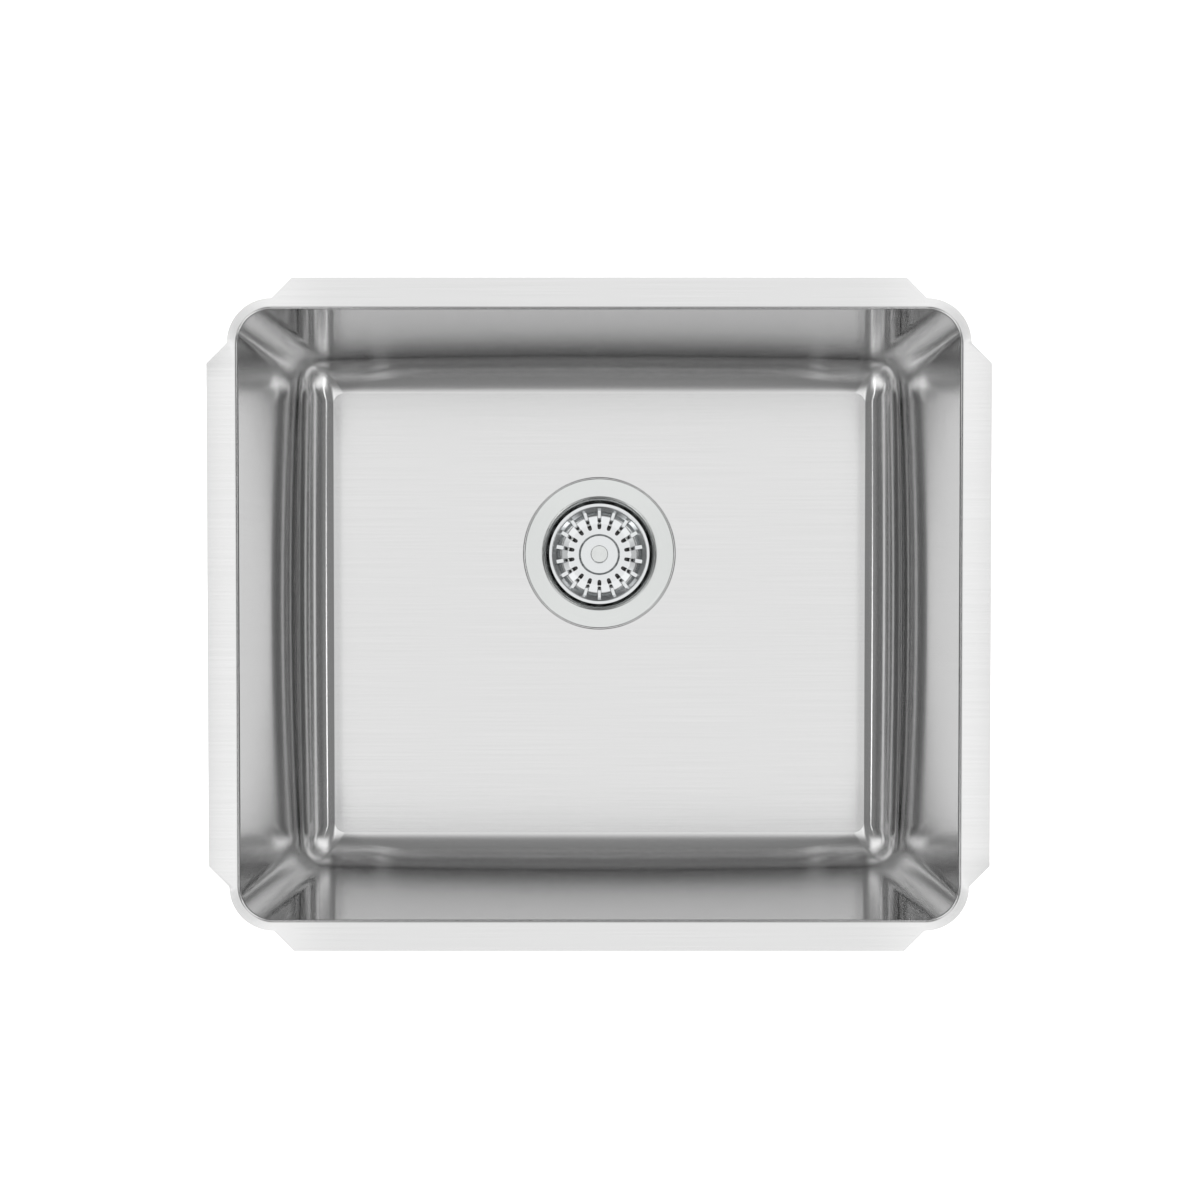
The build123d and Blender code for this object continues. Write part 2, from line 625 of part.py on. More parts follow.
with BuildPart() as stem_nut:
    with BuildSketch(drain_plane.offset(seal_foot_z)):
        RegularPolygon(STEM_NUT_WIDTH / 2, 6, major_radius=False)
        Circle(STEM_RADIUS + SHAFT_FIT, mode=Mode.SUBTRACT)
    extrude(amount=-STEM_NUT_HEIGHT)
save(stem_nut, "stem_nut")


# Basket: a pressed dish with a low shelf, ribs up its wall and a drain slot at the foot of each rib

basket_rim_radius = cup_radius(basket_rim_z) - BASKET_RIM_GAP
wall_top_radius = basket_rim_radius - BASKET_RIM_WIDTH
shelf_radius = BASKET_FLOOR_RADIUS + BASKET_WALL_RUN
wall_foot_radius = shelf_radius + BASKET_SHELF_RUN
wall_foot_z = basket_floor_z + BASKET_SHELF_RISE
slot_radius = BASKET_FLOOR_RADIUS + BASKET_WALL_RUN / 2

with BuildPart() as strainer_basket:
    with BuildSketch(section_plane):
        with BuildLine():
            FilletPolyline(
                (journal_radius + SHAFT_FIT, boss_top_z),
                (BASKET_BOSS_RADIUS - BASKET_BOSS_SLOPE, boss_top_z),
                (BASKET_BOSS_RADIUS, basket_floor_z),
                (shelf_radius, basket_floor_z),
                (wall_foot_radius, wall_foot_z),
                (wall_top_radius, basket_rim_z),
                (basket_rim_radius, basket_rim_z),
                radius=[
                    BASKET_BOSS_BEND_RADIUS,
                    BASKET_BOSS_BEND_RADIUS,
                    BASKET_BEND_RADIUS,
                    BASKET_BEND_RADIUS,
                    BASKET_RIM_BEND_RADIUS,
                ],
            )
            offset(amount=BASKET_SHEET, side=Side.RIGHT)
        make_face()
    revolve(axis=drain_axis)

    # Ribs: buttresses between the shelf and the steep wall, rooted in half the sheet
    root = BASKET_SHEET / 2
    rib_top_z = basket_rim_z - RIB_DROP
    wall_lean = (wall_top_radius - wall_foot_radius) / (basket_rim_z - wall_foot_z)
    rib_foot_radius = shelf_radius + RIB_FOOT_MARGIN
    rib_foot_z = basket_floor_z + BASKET_SHELF_RISE * RIB_FOOT_MARGIN / BASKET_SHELF_RUN - root
    rib_head_radius = wall_foot_radius + (rib_top_z - wall_foot_z) * wall_lean + root
    with BuildPart(mode=Mode.PRIVATE) as rib:
        with BuildSketch(Plane.XZ):
            with BuildLine():
                Polyline(
                    (rib_foot_radius, rib_foot_z),
                    (wall_foot_radius, wall_foot_z - root),
                    (rib_head_radius, rib_top_z),
                    (rib_foot_radius + RIB_LEAN, rib_top_z),
                    close=True,
                )
            make_face()
        extrude(amount=RIB_WIDTH / 2, both=True)
    with Locations(drain_plane):
        with PolarLocations(0, SLOT_COUNT, start_angle=90):
            add(rib.part)

    # Drain slots
    with BuildSketch(drain_plane.offset(basket_floor_z - 2 * BASKET_SHEET)):
        with PolarLocations(slot_radius, SLOT_COUNT, start_angle=90):
            SlotOverall(SLOT_LENGTH, SLOT_WIDTH)
    extrude(amount=BASKET_DEPTH / 2, mode=Mode.SUBTRACT)
save(strainer_basket, "strainer_basket")
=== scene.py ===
import json
from math import asin, atan2, cos, pi, radians, sin, tan

import bmesh
import bpy
from bpy.props import FloatProperty, FloatVectorProperty, IntProperty, PointerProperty
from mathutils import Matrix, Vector


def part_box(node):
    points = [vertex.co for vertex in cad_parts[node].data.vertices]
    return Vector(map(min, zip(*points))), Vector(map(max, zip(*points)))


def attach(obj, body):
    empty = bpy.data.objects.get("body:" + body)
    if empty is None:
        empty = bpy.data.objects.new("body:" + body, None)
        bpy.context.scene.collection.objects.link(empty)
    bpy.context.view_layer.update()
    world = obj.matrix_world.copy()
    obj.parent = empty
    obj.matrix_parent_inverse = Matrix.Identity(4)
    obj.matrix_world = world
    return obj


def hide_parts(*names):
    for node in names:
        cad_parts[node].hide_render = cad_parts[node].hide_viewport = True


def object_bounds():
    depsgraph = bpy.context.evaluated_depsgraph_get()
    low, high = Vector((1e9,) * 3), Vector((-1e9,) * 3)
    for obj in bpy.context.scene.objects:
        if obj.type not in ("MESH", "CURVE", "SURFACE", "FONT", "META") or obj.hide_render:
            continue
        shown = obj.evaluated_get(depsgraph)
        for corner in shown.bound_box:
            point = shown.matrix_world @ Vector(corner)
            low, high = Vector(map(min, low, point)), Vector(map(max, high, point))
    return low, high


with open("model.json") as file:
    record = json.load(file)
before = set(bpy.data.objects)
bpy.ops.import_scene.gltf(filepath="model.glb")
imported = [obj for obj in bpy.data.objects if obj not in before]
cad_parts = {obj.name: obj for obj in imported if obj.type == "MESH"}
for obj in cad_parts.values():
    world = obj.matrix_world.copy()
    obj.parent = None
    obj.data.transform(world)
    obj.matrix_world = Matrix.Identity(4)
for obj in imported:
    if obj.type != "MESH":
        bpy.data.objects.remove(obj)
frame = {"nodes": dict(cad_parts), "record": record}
cad_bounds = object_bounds()

bl_info = {
    "name": "Undermount kitchen sink",
    "version": (1, 0, 0),
    "blender": (4, 5, 0),
    "location": "3D View > Sidebar > Sink",
    "description": "Brushed stainless undermount bowl with its basket strainer and drain",
    "category": "Object",
}

MM = 0.001
MERGE = 0.0001 * MM  # points nearer than this are one
PHOTO_SIZE = 1200  # pixels each way

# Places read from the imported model, in metres
flange_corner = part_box("sink_bowl")[1]
drain_low, drain_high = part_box("strainer_body")
DRAIN_CENTRE = Vector(((drain_low.x + drain_high.x) / 2, (drain_low.y + drain_high.y) / 2, 0))


def ends(node):
    """Give the heights of a node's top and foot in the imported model, in millimetres."""
    low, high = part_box(node)
    return round(high.z / MM, 3), round(low.z / MM, 3)


def linear(hex_colour):
    """Turn an sRGB hex colour into linear red, green, blue and alpha."""
    channels = []
    for start in (0, 2, 4):
        value = int(hex_colour[start : start + 2], 16) / 255
        channels.append(value / 12.92 if value <= 0.04045 else ((value + 0.055) / 1.055) ** 2.4)
    return (*channels, 1.0)


def add_node(tree, kind, inputs=None, **settings):
    """Add a node to a tree, set its properties, and set or link its inputs by name or index."""
    made = tree.nodes.new(kind)
    for name, value in settings.items():
        setattr(made, name, value)
    for socket, value in (inputs or {}).items():
        if isinstance(value, bpy.types.NodeSocket):
            tree.links.new(value, made.inputs[socket])
        else:
            made.inputs[socket].default_value = value
    return made


# Sizes and colours a user would change


def length_setting(name, description, millimetres):
    """Declare a length with its default in millimetres."""
    return FloatProperty(name=name, description=description, default=millimetres * MM, unit="LENGTH")


def angle_setting(name, description, degrees):
    """Declare an angle with its default in degrees."""
    return FloatProperty(name=name, description=description, default=radians(degrees), subtype="ANGLE")


def colour_setting(name, description, hex_colour):
    """Declare a colour with its default in sRGB hex."""
    return FloatVectorProperty(
        name=name, description=description, default=linear(hex_colour), subtype="COLOR", size=4
    )


class BowlSizes(bpy.types.PropertyGroup):
    """Sizes of the pressed bowl that its box does not give."""

    opening_length: length_setting("Opening length", "Between the left and right walls", 460)
    opening_width: length_setting("Opening width", "Between the front and rear walls", 390)
    depth: length_setting("Depth", "Flange top to bowl floor", 200)
    corner_radius: length_setting("Corner radius", "Upright corners, inside", 21.5)
    floor_corner_radius: length_setting("Floor corner radius", "Corners of the flat floor", 8)
    floor_bend: length_setting("Floor bend", "Wall foot to floor edge, in plan", 27)
    floor_crease: angle_setting("Floor crease", "Angle at which the bend meets the floor", 14)
    wall_lean: angle_setting("Wall lean", "Angle of the wall's foot from upright, at mid side", 2)
    wall_lean_corner: angle_setting(
        "Wall lean at corners", "Angle of the wall's foot from upright, beside the corners", 3.5
    )
    rim_bend: length_setting("Rim bend", "Flange to wall, upper side", 2.2)
    corner_rim: length_setting("Corner rim", "Flange width round the corners", 7)
    sheet: length_setting("Sheet", "Steel thickness", 1.2)
    recess_depth: length_setting("Recess depth", "Floor to drain recess", 3)
    recess_radius: length_setting("Recess radius", "Drain recess", 57.75)
    recess_edge: length_setting("Recess edge", "Rounding of the recess's edge", 0.8)
    hole_radius: length_setting("Hole radius", "Drain hole", 44.5)


class PadSizes(bpy.types.PropertyGroup):
    """Sizes of the sound pads that their boxes do not give."""

    thickness: length_setting("Thickness", "Pad thickness", 3)
    corner_radius: length_setting("Corner radius", "Rounded corners of each pad", 12)
    diamond: length_setting("Diamond", "Pitch of the moulded diamonds", 7)


class DrainSizes(bpy.types.PropertyGroup):
    """Sizes of the strainer, its basket and the tailpiece."""

    flange_radius: length_setting("Flange radius", "Strainer flange", 57.15)
    mouth_radius: length_setting("Mouth radius", "Inside of the strainer's mouth", 41.8)
    rib_count: IntProperty(name="Ribs", description="Ribs and slots in the basket", default=18, min=6)
    rib_width: length_setting("Rib width", "Width of each rib", 3)
    slot_length: length_setting("Slot length", "Length of each slot, outwards", 5.4)
    slot_width: length_setting("Slot width", "Width of each slot", 3)
    tailpiece_end: length_setting("Tailpiece end", "Height of the tube's foot", ends("tailpiece")[1])


class FinishColours(bpy.types.PropertyGroup):
    """Colours of the finishes."""

    sheet: colour_setting("Bowl", "Brushed inside of the bowl", "D0D0D0")
    sheet_back: colour_setting("Bowl, outside", "Rolled outside of the bowl", "B4B6B7")
    turned: colour_setting("Turned steel", "Strainer, knob and backing washer", "CDCFCE")
    satin: colour_setting("Satin steel", "Stem and stem nut", "D2D3D4")
    pressed: colour_setting("Pressed steel", "Basket, bridge and clip", "D2D4D5")
    chrome: colour_setting("Chrome", "Tailpiece and coupling nut", "CFD2D5")
    zinc: colour_setting("Zinc", "Locknut", "C2C4C5")
    rubber: colour_setting("Rubber", "Stopper and gasket", "3E3E3E")
    foam: colour_setting("Foam", "Seal below the strainer's flange", "7A7A7A")
    fibre: colour_setting("Fibre", "Friction washer", "C2A782")
    plastic: colour_setting("Plastic", "Tailpiece washer", "F0F0EC")
    pads: colour_setting("Pads", "Sound pads", "525254")


# Bowl


def side_stations(half_straight, flap_cut, count):
    """List the places along one side, as shares of half its straight length, with the flap's ends."""
    cut_share = 1 - flap_cut / half_straight
    inner = [cut_share * (2 * step / count - 1) for step in range(count + 1)]
    return [-1.0, *inner, 1.0]


class BowlSurface:
    """The bowl's inner surface: closed rings of stations round the bowl, from flange edge to drain.

    A station is (side, share along its straight, angle turned through the corner after it). The
    sides go round from the right by the rear.
    """

    CORNER_STEPS = 14
    SIDE_STEPS = 28
    RIM_STEPS = 6
    WALL_STEPS = 12
    BEND_STEPS = 20
    FLOOR_STEPS = 4
    RECESS_STEPS = 4
    SMALL_DROP = 1e-4  # levels, for a slope down the wall
    SMALL_SHARE = 1e-3  # of a side, for a slope along the wall

    def __init__(self, sizes):
        self.sizes = sizes
        self.half = (sizes.opening_length / 2, sizes.opening_width / 2)
        self.flap_cut = flange_corner.x - self.half[0] - sizes.corner_rim
        self.stations = []
        for side in range(4):
            straight = self.reach_and_span(side)[1] - sizes.corner_radius
            for share in side_stations(straight, self.flap_cut, self.SIDE_STEPS):
                self.stations.append((side, share, 0.0))
            for step in range(1, self.CORNER_STEPS):
                self.stations.append((side, 1.0, radians(90) * step / self.CORNER_STEPS))

    def reach_and_span(self, side):
        """Give how far out a side stands and half its length, at the opening."""
        return self.half if side % 2 == 0 else self.half[::-1]

    def place(self, station, inset, corner):
        """Give a station's plan position on a ring drawn in by an inset, and its outward direction."""
        side, share, turn = station
        angle = side * radians(90)
        out = Vector((cos(angle), sin(angle)))
        along = Vector((-sin(angle), cos(angle)))
        reach, span = self.reach_and_span(side)
        point = out * (reach - inset - corner) + along * (span - inset - corner) * share
        facing = out * cos(turn) + along * sin(turn)
        return point + facing * corner, facing

    def flange_edge(self, station):
        """Give a station's plan position on the flange's outer edge, with its clipped corners."""
        side, share, turn = station
        rim, corner = self.sizes.corner_rim, self.sizes.corner_radius
        point, facing = self.place(station, 0.0, corner)
        if turn > 0:
            return point + facing * rim
        from_end = (self.reach_and_span(side)[1] - corner) * (1 - abs(share))
        return point + facing * min(rim + from_end, rim + self.flap_cut)

    def wall_profile(self, station):
        """Give a station's lean, the angle where its bend ends, the bend's radius and the wall's height.

        The wall leans least at mid side and most at the corners.
        """
        sizes = self.sizes
        lean = sizes.wall_lean + (sizes.wall_lean_corner - sizes.wall_lean) * abs(station[1]) ** 2
        end = radians(90) - sizes.floor_crease
        across = cos(lean) - cos(end)
        down = sin(end) - sin(lean)
        bend = (sizes.floor_bend - sizes.depth * tan(lean) / 2) / (across - down * tan(lean) / 2)
        return lean, end, bend, sizes.depth - bend * down

    def wall_point(self, station, level):
        """Give the inset and height on the wall and bend: level 0 to 1 is the wall, 1 to 2 the bend."""
        lean, end, bend, height = self.wall_profile(station)
        wall_inset = height * tan(lean) / 2
        if level <= 1:
            return wall_inset * level**2, -height * level
        angle = lean + (end - lean) * (level - 1)
        inset = wall_inset + bend * (cos(lean) - cos(angle))
        return inset, -height - bend * (sin(angle) - sin(lean))

    def corner_at(self, inset):
        """Give the plan corner radius for an inset."""
        share = inset / self.sizes.floor_bend
        return self.sizes.corner_radius + (self.sizes.floor_corner_radius - self.sizes.corner_radius) * share

    def wall_position(self, station, level):
        """Give the position on the wall and bend at a level."""
        inset, height = self.wall_point(station, level)
        plan = self.place(station, inset, self.corner_at(inset))[0]
        return Vector((plan.x, plan.y, height))

    def wall_normal(self, station, level, from_above=False):
        """Give the surface normal on the wall and bend, from small steps round and down."""
        side, share, turn = station
        facing = self.place(station, 0, 0)[1]
        around = Vector((-facing.y, facing.x, 0))
        if turn == 0:
            before = (side, max(share - self.SMALL_SHARE, -1), 0)
            after = (side, min(share + self.SMALL_SHARE, 1), 0)
            around = self.wall_position(after, level) - self.wall_position(before, level)
        upper = max(level - self.SMALL_DROP, 0)
        lower = level if from_above else level + self.SMALL_DROP
        down = self.wall_position(station, lower) - self.wall_position(station, upper)
        normal = down.cross(around)
        inward_and_up = Vector((-facing.x, -facing.y, 0.2))
        if normal.dot(inward_and_up) < 0:
            normal.negate()
        return normal.normalized()

    def wall_spot(self, side, along, height):
        """Give a place on a wall's outside, from its distance off mid side and height, and its facing."""
        station = (side, 0.0, 0.0)
        for attempt in range(3):
            level = -height / self.wall_profile(station)[3]
            inset = self.wall_point(station, level)[0]
            straight = self.reach_and_span(side)[1] - inset - self.corner_at(inset)
            station = (side, along / straight, 0.0)
        level = -height / self.wall_profile(station)[3]
        outward = -self.wall_normal(station, level)
        return self.wall_position(station, level) + outward * self.sizes.sheet, outward


def ring_about_drain(surface, radius, height):
    """List a ring of points on a circle about the drain, one for each station."""
    sizes = surface.sizes
    points = []
    for station in surface.stations:
        plan = surface.place(station, sizes.floor_bend, sizes.floor_corner_radius)[0]
        angle = atan2(plan.y - DRAIN_CENTRE.y, plan.x - DRAIN_CENTRE.x)
        x = DRAIN_CENTRE.x + radius * cos(angle)
        y = DRAIN_CENTRE.y + radius * sin(angle)
        points.append(Vector((x, y, height)))
    return points


def bowl_rings(surface):
    """List the inner surface's rings as (points, normals above, normals below)."""
    sizes = surface.sizes
    stations = surface.stations
    up = [Vector((0, 0, 1))] * len(stations)
    edge = [Vector((*surface.flange_edge(station), 0)) for station in stations]
    rings = [(edge, up, up)]

    # Flange to wall
    for step in range(surface.RIM_STEPS + 1):
        angle = radians(90) * step / surface.RIM_STEPS
        offset = sizes.rim_bend * (1 - sin(angle))
        height = -sizes.rim_bend * (1 - cos(angle))
        points = []
        normals = []
        for station in stations:
            plan, facing = surface.place(station, -offset, sizes.corner_radius + offset)
            points.append(Vector((plan.x, plan.y, height)))
            normals.append(Vector((-facing.x * sin(angle), -facing.y * sin(angle), cos(angle))))
        rings.append((points, normals, normals))

    # Wall and bend, which ends in a crease at the floor
    start = sizes.rim_bend / sizes.depth
    wall_steps = range(1, surface.WALL_STEPS + 1)
    levels = [start + (1 - start) * step / surface.WALL_STEPS for step in wall_steps]
    levels += [1 + step / surface.BEND_STEPS for step in range(1, surface.BEND_STEPS + 1)]
    for level in levels:
        last = level == levels[-1]
        points = [surface.wall_position(station, level) for station in stations]
        normals = [surface.wall_normal(station, level, from_above=last) for station in stations]
        rings.append((points, normals, up if last else normals))

    # Floor, and the edge and foot of the drain's recess
    floor_ring = rings[-1][0]
    edge_ring = ring_about_drain(surface, sizes.recess_radius + sizes.recess_edge, -sizes.depth)
    for step in range(1, surface.FLOOR_STEPS):
        share = step / surface.FLOOR_STEPS
        rings.append(([near.lerp(far, share) for near, far in zip(floor_ring, edge_ring)], up, up))
    for step in range(surface.RECESS_STEPS + 1):
        angle = radians(90) * step / surface.RECESS_STEPS
        radius = sizes.recess_radius + sizes.recess_edge * (1 - sin(angle))
        points = ring_about_drain(surface, radius, -sizes.depth - sizes.recess_edge * (1 - cos(angle)))
        normals = []
        for point in points:
            out = (point - DRAIN_CENTRE).to_2d().normalized()
            normals.append(Vector((-out.x * sin(angle), -out.y * sin(angle), cos(angle))))
        rings.append((points, normals, normals))
    recess_z = -sizes.depth - sizes.recess_depth
    rings.append((ring_about_drain(surface, sizes.recess_radius, recess_z), rings[-1][1], up))
    rings.append((ring_about_drain(surface, sizes.hole_radius, recess_z), up, up))
    return rings


def sheet_faces(rings, verts, outer_start):
    """List the sheet's faces and their corners' normals: inside, outside and the two cut edges."""
    count = len(rings[0][0])
    last_ring = len(rings) - 1
    faces = []
    normals = []
    for ring in range(last_ring):
        below = rings[ring][2]
        above_next = rings[ring + 1][1]
        for index in range(count):
            after = (index + 1) % count
            corners = (
                (ring * count + index, below[index]),
                (ring * count + after, below[after]),
                ((ring + 1) * count + after, above_next[after]),
                ((ring + 1) * count + index, above_next[index]),
            )
            faces.append([number for number, normal in corners])
            normals.extend(normal for number, normal in corners)
            faces.append([outer_start + number for number, normal in reversed(corners)])
            normals.extend(-normal for number, normal in reversed(corners))
    for ring in (0, last_ring):
        for index in range(count):
            inner = [ring * count + (index + 1) % count, ring * count + index]
            face = [*inner, outer_start + inner[1], outer_start + inner[0]]
            if ring == last_ring:
                face.reverse()
            faces.append(face)
            first, second, third = (Vector(verts[number]) for number in face[:3])
            normals.extend([(second - first).cross(third - second).normalized()] * 4)
    return faces, normals


def unfolded(surface, rings):
    """List the inner points' places on the unfolded sheet, as (across the grain, along the grain)."""
    sizes = surface.sizes
    middle = surface.SIDE_STEPS // 2
    floor_ring = next(
        number for number, ring in enumerate(rings) if abs(ring[0][0].z + sizes.depth) < 1e-6
    )
    distances = [0.0] * len(rings)
    for ring in range(floor_ring - 1, -1, -1):
        run = rings[ring][0][middle] - rings[ring + 1][0][middle]
        distances[ring] = distances[ring + 1] + run.length
    places = []
    for ring, (points, above, below) in enumerate(rings):
        if ring >= floor_ring:
            places.extend((point.y, point.x) for point in points)
            continue
        for station in surface.stations:
            angle = station[0] * radians(90) + station[2]
            plan = surface.place(station, sizes.floor_bend, sizes.floor_corner_radius)[0]
            places.append((plan.y + distances[ring] * sin(angle), plan.x + distances[ring] * cos(angle)))
    return places


def make_bowl(surface):
    """Build the bowl's sheet: inner rings, and outer rings one thickness behind them."""
    rings = bowl_rings(surface)
    verts = [point for points, above, below in rings for point in points]
    outer_start = len(verts)
    for points, above, below in rings:
        for point, upper, lower in zip(points, above, below):
            middle = (upper + lower).normalized()
            # At a crease the mitre is longer than the sheet is thick, at most twice as long
            verts.append(point - middle * surface.sizes.sheet / max(middle.dot(upper), 0.5))
    faces, normals = sheet_faces(rings, verts, outer_start)

    mesh = bpy.data.meshes.new("sink_bowl_sheet")
    mesh.from_pydata([tuple(vert) for vert in verts], [], faces)
    mesh.polygons.foreach_set("use_smooth", [True] * len(faces))
    back_faces = [int(face[0] >= outer_start and face[2] >= outer_start) for face in faces]
    mesh.polygons.foreach_set("material_index", back_faces)
    mesh.normals_split_custom_set([tuple(normal) for normal in normals])
    places = unfolded(surface, rings)
    coords = []
    for loop in mesh.loops:
        coords.extend(places[loop.vertex_index % outer_start])
    mesh.uv_layers.new(name="sheet").data.foreach_set("uv", coords)
    return mesh


# Materials


def new_material(name):
    """Start an empty node material and give it with its tree."""
    material = bpy.data.materials.new(name)
    material.use_nodes = True
    material.node_tree.nodes.clear()
    return material, material.node_tree


def close_material(tree, shader):
    """Link the finished shader to the material's output."""
    add_node(tree, "ShaderNodeOutputMaterial", {"Surface": shader.outputs["BSDF"]})


def grained_metal(name, uv_map, colour, roughness, grain, scratch):
    """Metal worked in lines along a map's V direction, so that its reflections smear across them.

    grain is how far the finest lines tilt the surface. scratch is (width, length, tilt). The
    scratches are a little lighter and darker than the rest.
    """
    line_pitch = 0.05 * MM  # too fine to see singly
    darkest, lightest = 0.98, 1.02
    material, tree = new_material(name)
    place = add_node(tree, "ShaderNodeUVMap", uv_map=uv_map).outputs["UV"]
    across = add_node(tree, "ShaderNodeTangent", direction_type="UV_MAP", uv_map=uv_map).outputs["Tangent"]
    axes = add_node(tree, "ShaderNodeSeparateXYZ", {0: place}).outputs
    line_place = add_node(tree, "ShaderNodeMath", {0: axes["X"], 1: 1 / line_pitch}, operation="MULTIPLY")
    fine = add_node(
        tree,
        "ShaderNodeTexNoise",
        {"W": line_place.outputs["Value"], "Scale": 1.0, "Detail": 2.0},
        noise_dimensions="1D",
    )
    width, length, tilt = scratch
    stretched = add_node(
        tree, "ShaderNodeMapping", {"Vector": place, "Scale": (1 / width, 1 / length, 1.0)}
    )
    scratches = add_node(
        tree, "ShaderNodeTexNoise", {"Vector": stretched.outputs["Vector"], "Scale": 1.0, "Detail": 3.0}
    )
    facing = add_node(tree, "ShaderNodeNewGeometry").outputs["Normal"]
    for lines, amount in ((fine, grain), (scratches, tilt)):
        lean = add_node(
            tree,
            "ShaderNodeMapRange",
            {"Value": lines.outputs[0], "To Min": -amount, "To Max": amount},
        )
        push = add_node(
            tree, "ShaderNodeVectorMath", {0: across, "Scale": lean.outputs["Result"]}, operation="SCALE"
        )
        facing = add_node(
            tree, "ShaderNodeVectorMath", {0: facing, 1: push.outputs["Vector"]}, operation="ADD"
        ).outputs["Vector"]
    facing = add_node(tree, "ShaderNodeVectorMath", {0: facing}, operation="NORMALIZE").outputs["Vector"]
    # The noise seldom leaves the middle of its range, so that is spread over the shades
    shade = add_node(
        tree,
        "ShaderNodeMapRange",
        {
            "Value": scratches.outputs[0],
            "From Min": 0.3,
            "From Max": 0.7,
            "To Min": darkest,
            "To Max": lightest,
        },
    )
    tone = add_node(
        tree, "ShaderNodeVectorMath", {0: colour[:3], 1: shade.outputs["Result"]}, operation="MULTIPLY"
    )
    metal = add_node(
        tree,
        "ShaderNodeBsdfPrincipled",
        {
            "Base Color": tone.outputs["Vector"],
            "Metallic": 1.0,
            "Roughness": roughness,
            "Anisotropic": 1.0,
            "Tangent": across,
            "Normal": facing,
        },
    )
    close_material(tree, metal)
    return material


def two_tones(tree, colour, spread, patches):
    """Mix a darker and a lighter tone of a colour by a noise. spread is the share each way."""
    darker = (*(value * (1 - spread) for value in colour[:3]), 1.0)
    lighter = (*(value * (1 + spread) for value in colour[:3]), 1.0)
    mixed = add_node(
        tree, "ShaderNodeMix", {0: patches.outputs["Fac"], 6: darker, 7: lighter}, data_type="RGBA"
    )
    return mixed.outputs[2]


def mottled(name, colour, spread, metallic, roughness, spots, bumps):
    """Cast, moulded or pressed stuff: two tones in soft patches, uneven gloss and a fine raised texture.

    spots is the size of the patches. bumps are (size, height) of the raised texture.
    """
    gloss_spread = 0.08
    material, tree = new_material(name)
    place = add_node(tree, "ShaderNodeTexCoord").outputs["Object"]
    patches = add_node(tree, "ShaderNodeTexNoise", {"Vector": place, "Scale": 1 / spots, "Detail": 4.0})
    gloss = add_node(
        tree,
        "ShaderNodeMapRange",
        {
            "Value": patches.outputs["Fac"],
            "To Min": roughness - gloss_spread,
            "To Max": roughness + gloss_spread,
        },
    )
    size, height = bumps
    texture = add_node(tree, "ShaderNodeTexNoise", {"Vector": place, "Scale": 1 / size, "Detail": 2.0})
    bump = add_node(
        tree, "ShaderNodeBump", {"Height": texture.outputs["Fac"], "Distance": height, "Strength": 1.0}
    )
    body = add_node(
        tree,
        "ShaderNodeBsdfPrincipled",
        {
            "Base Color": two_tones(tree, colour, spread, patches),
            "Metallic": metallic,
            "Roughness": gloss.outputs["Result"],
            "Normal": bump.outputs["Normal"],
        },
    )
    close_material(tree, body)
    return material


def polished_metal(name, colour, roughness, wave_size, wave_height):
    """Bright polished metal: a clear mirror, very slightly uneven as buffing leaves it."""
    material, tree = new_material(name)
    place = add_node(tree, "ShaderNodeTexCoord").outputs["Object"]
    waves = add_node(tree, "ShaderNodeTexNoise", {"Vector": place, "Scale": 1 / wave_size, "Detail": 1.0})
    bump = add_node(
        tree, "ShaderNodeBump", {"Height": waves.outputs["Fac"], "Distance": wave_height, "Strength": 1.0}
    )
    metal = add_node(
        tree,
        "ShaderNodeBsdfPrincipled",
        {
            "Base Color": colour,
            "Metallic": 1.0,
            "Roughness": roughness,
            "Normal": bump.outputs["Normal"],
        },
    )
    close_material(tree, metal)
    return material


def pad_rubber(colour, diamond):
    """Moulded sheet rubber: dark grey and matt, with a raised diamond pattern and a fine rough skin."""
    ridge_start, ridge_top, ridge_height = 0.78, 0.92, 0.5 * MM
    speckle_size, speckle_height = 0.6 * MM, 0.06 * MM
    patch_size = 30 * MM
    material, tree = new_material("pad_rubber_diamond")
    place = add_node(tree, "ShaderNodeUVMap", uv_map="pad").outputs["UV"]
    axes = add_node(tree, "ShaderNodeSeparateXYZ", {0: place}).outputs
    ridges = []
    for operation in ("ADD", "SUBTRACT"):
        slant = add_node(tree, "ShaderNodeMath", {0: axes["X"], 1: axes["Y"]}, operation=operation)
        turns = add_node(
            tree, "ShaderNodeMath", {0: slant.outputs["Value"], 1: 1 / diamond}, operation="MULTIPLY"
        )
        wave = add_node(tree, "ShaderNodeMath", {0: turns.outputs["Value"], 1: 1.0}, operation="PINGPONG")
        ridge = add_node(
            tree,
            "ShaderNodeMapRange",
            {"Value": wave.outputs["Value"], "From Min": ridge_start, "From Max": ridge_top},
            interpolation_type="SMOOTHSTEP",
        )
        ridges.append(ridge.outputs["Result"])
    raised = add_node(tree, "ShaderNodeMath", dict(enumerate(ridges)), operation="MAXIMUM")
    pattern = add_node(
        tree,
        "ShaderNodeBump",
        {"Height": raised.outputs["Value"], "Distance": ridge_height, "Strength": 1.0},
    )
    speckle = add_node(
        tree, "ShaderNodeTexNoise", {"Vector": place, "Scale": 1 / speckle_size, "Detail": 2.0}
    )
    skin = add_node(
        tree,
        "ShaderNodeBump",
        {
            "Height": speckle.outputs["Fac"],
            "Distance": speckle_height,
            "Strength": 1.0,
            "Normal": pattern.outputs["Normal"],
        },
    )
    patches = add_node(tree, "ShaderNodeTexNoise", {"Vector": place, "Scale": 1 / patch_size, "Detail": 4.0})
    body = add_node(
        tree,
        "ShaderNodeBsdfPrincipled",
        {
            "Base Color": two_tones(tree, colour, 0.15, patches),
            "Roughness": 0.72,
            "Normal": skin.outputs["Normal"],
        },
    )
    close_material(tree, body)
    return material


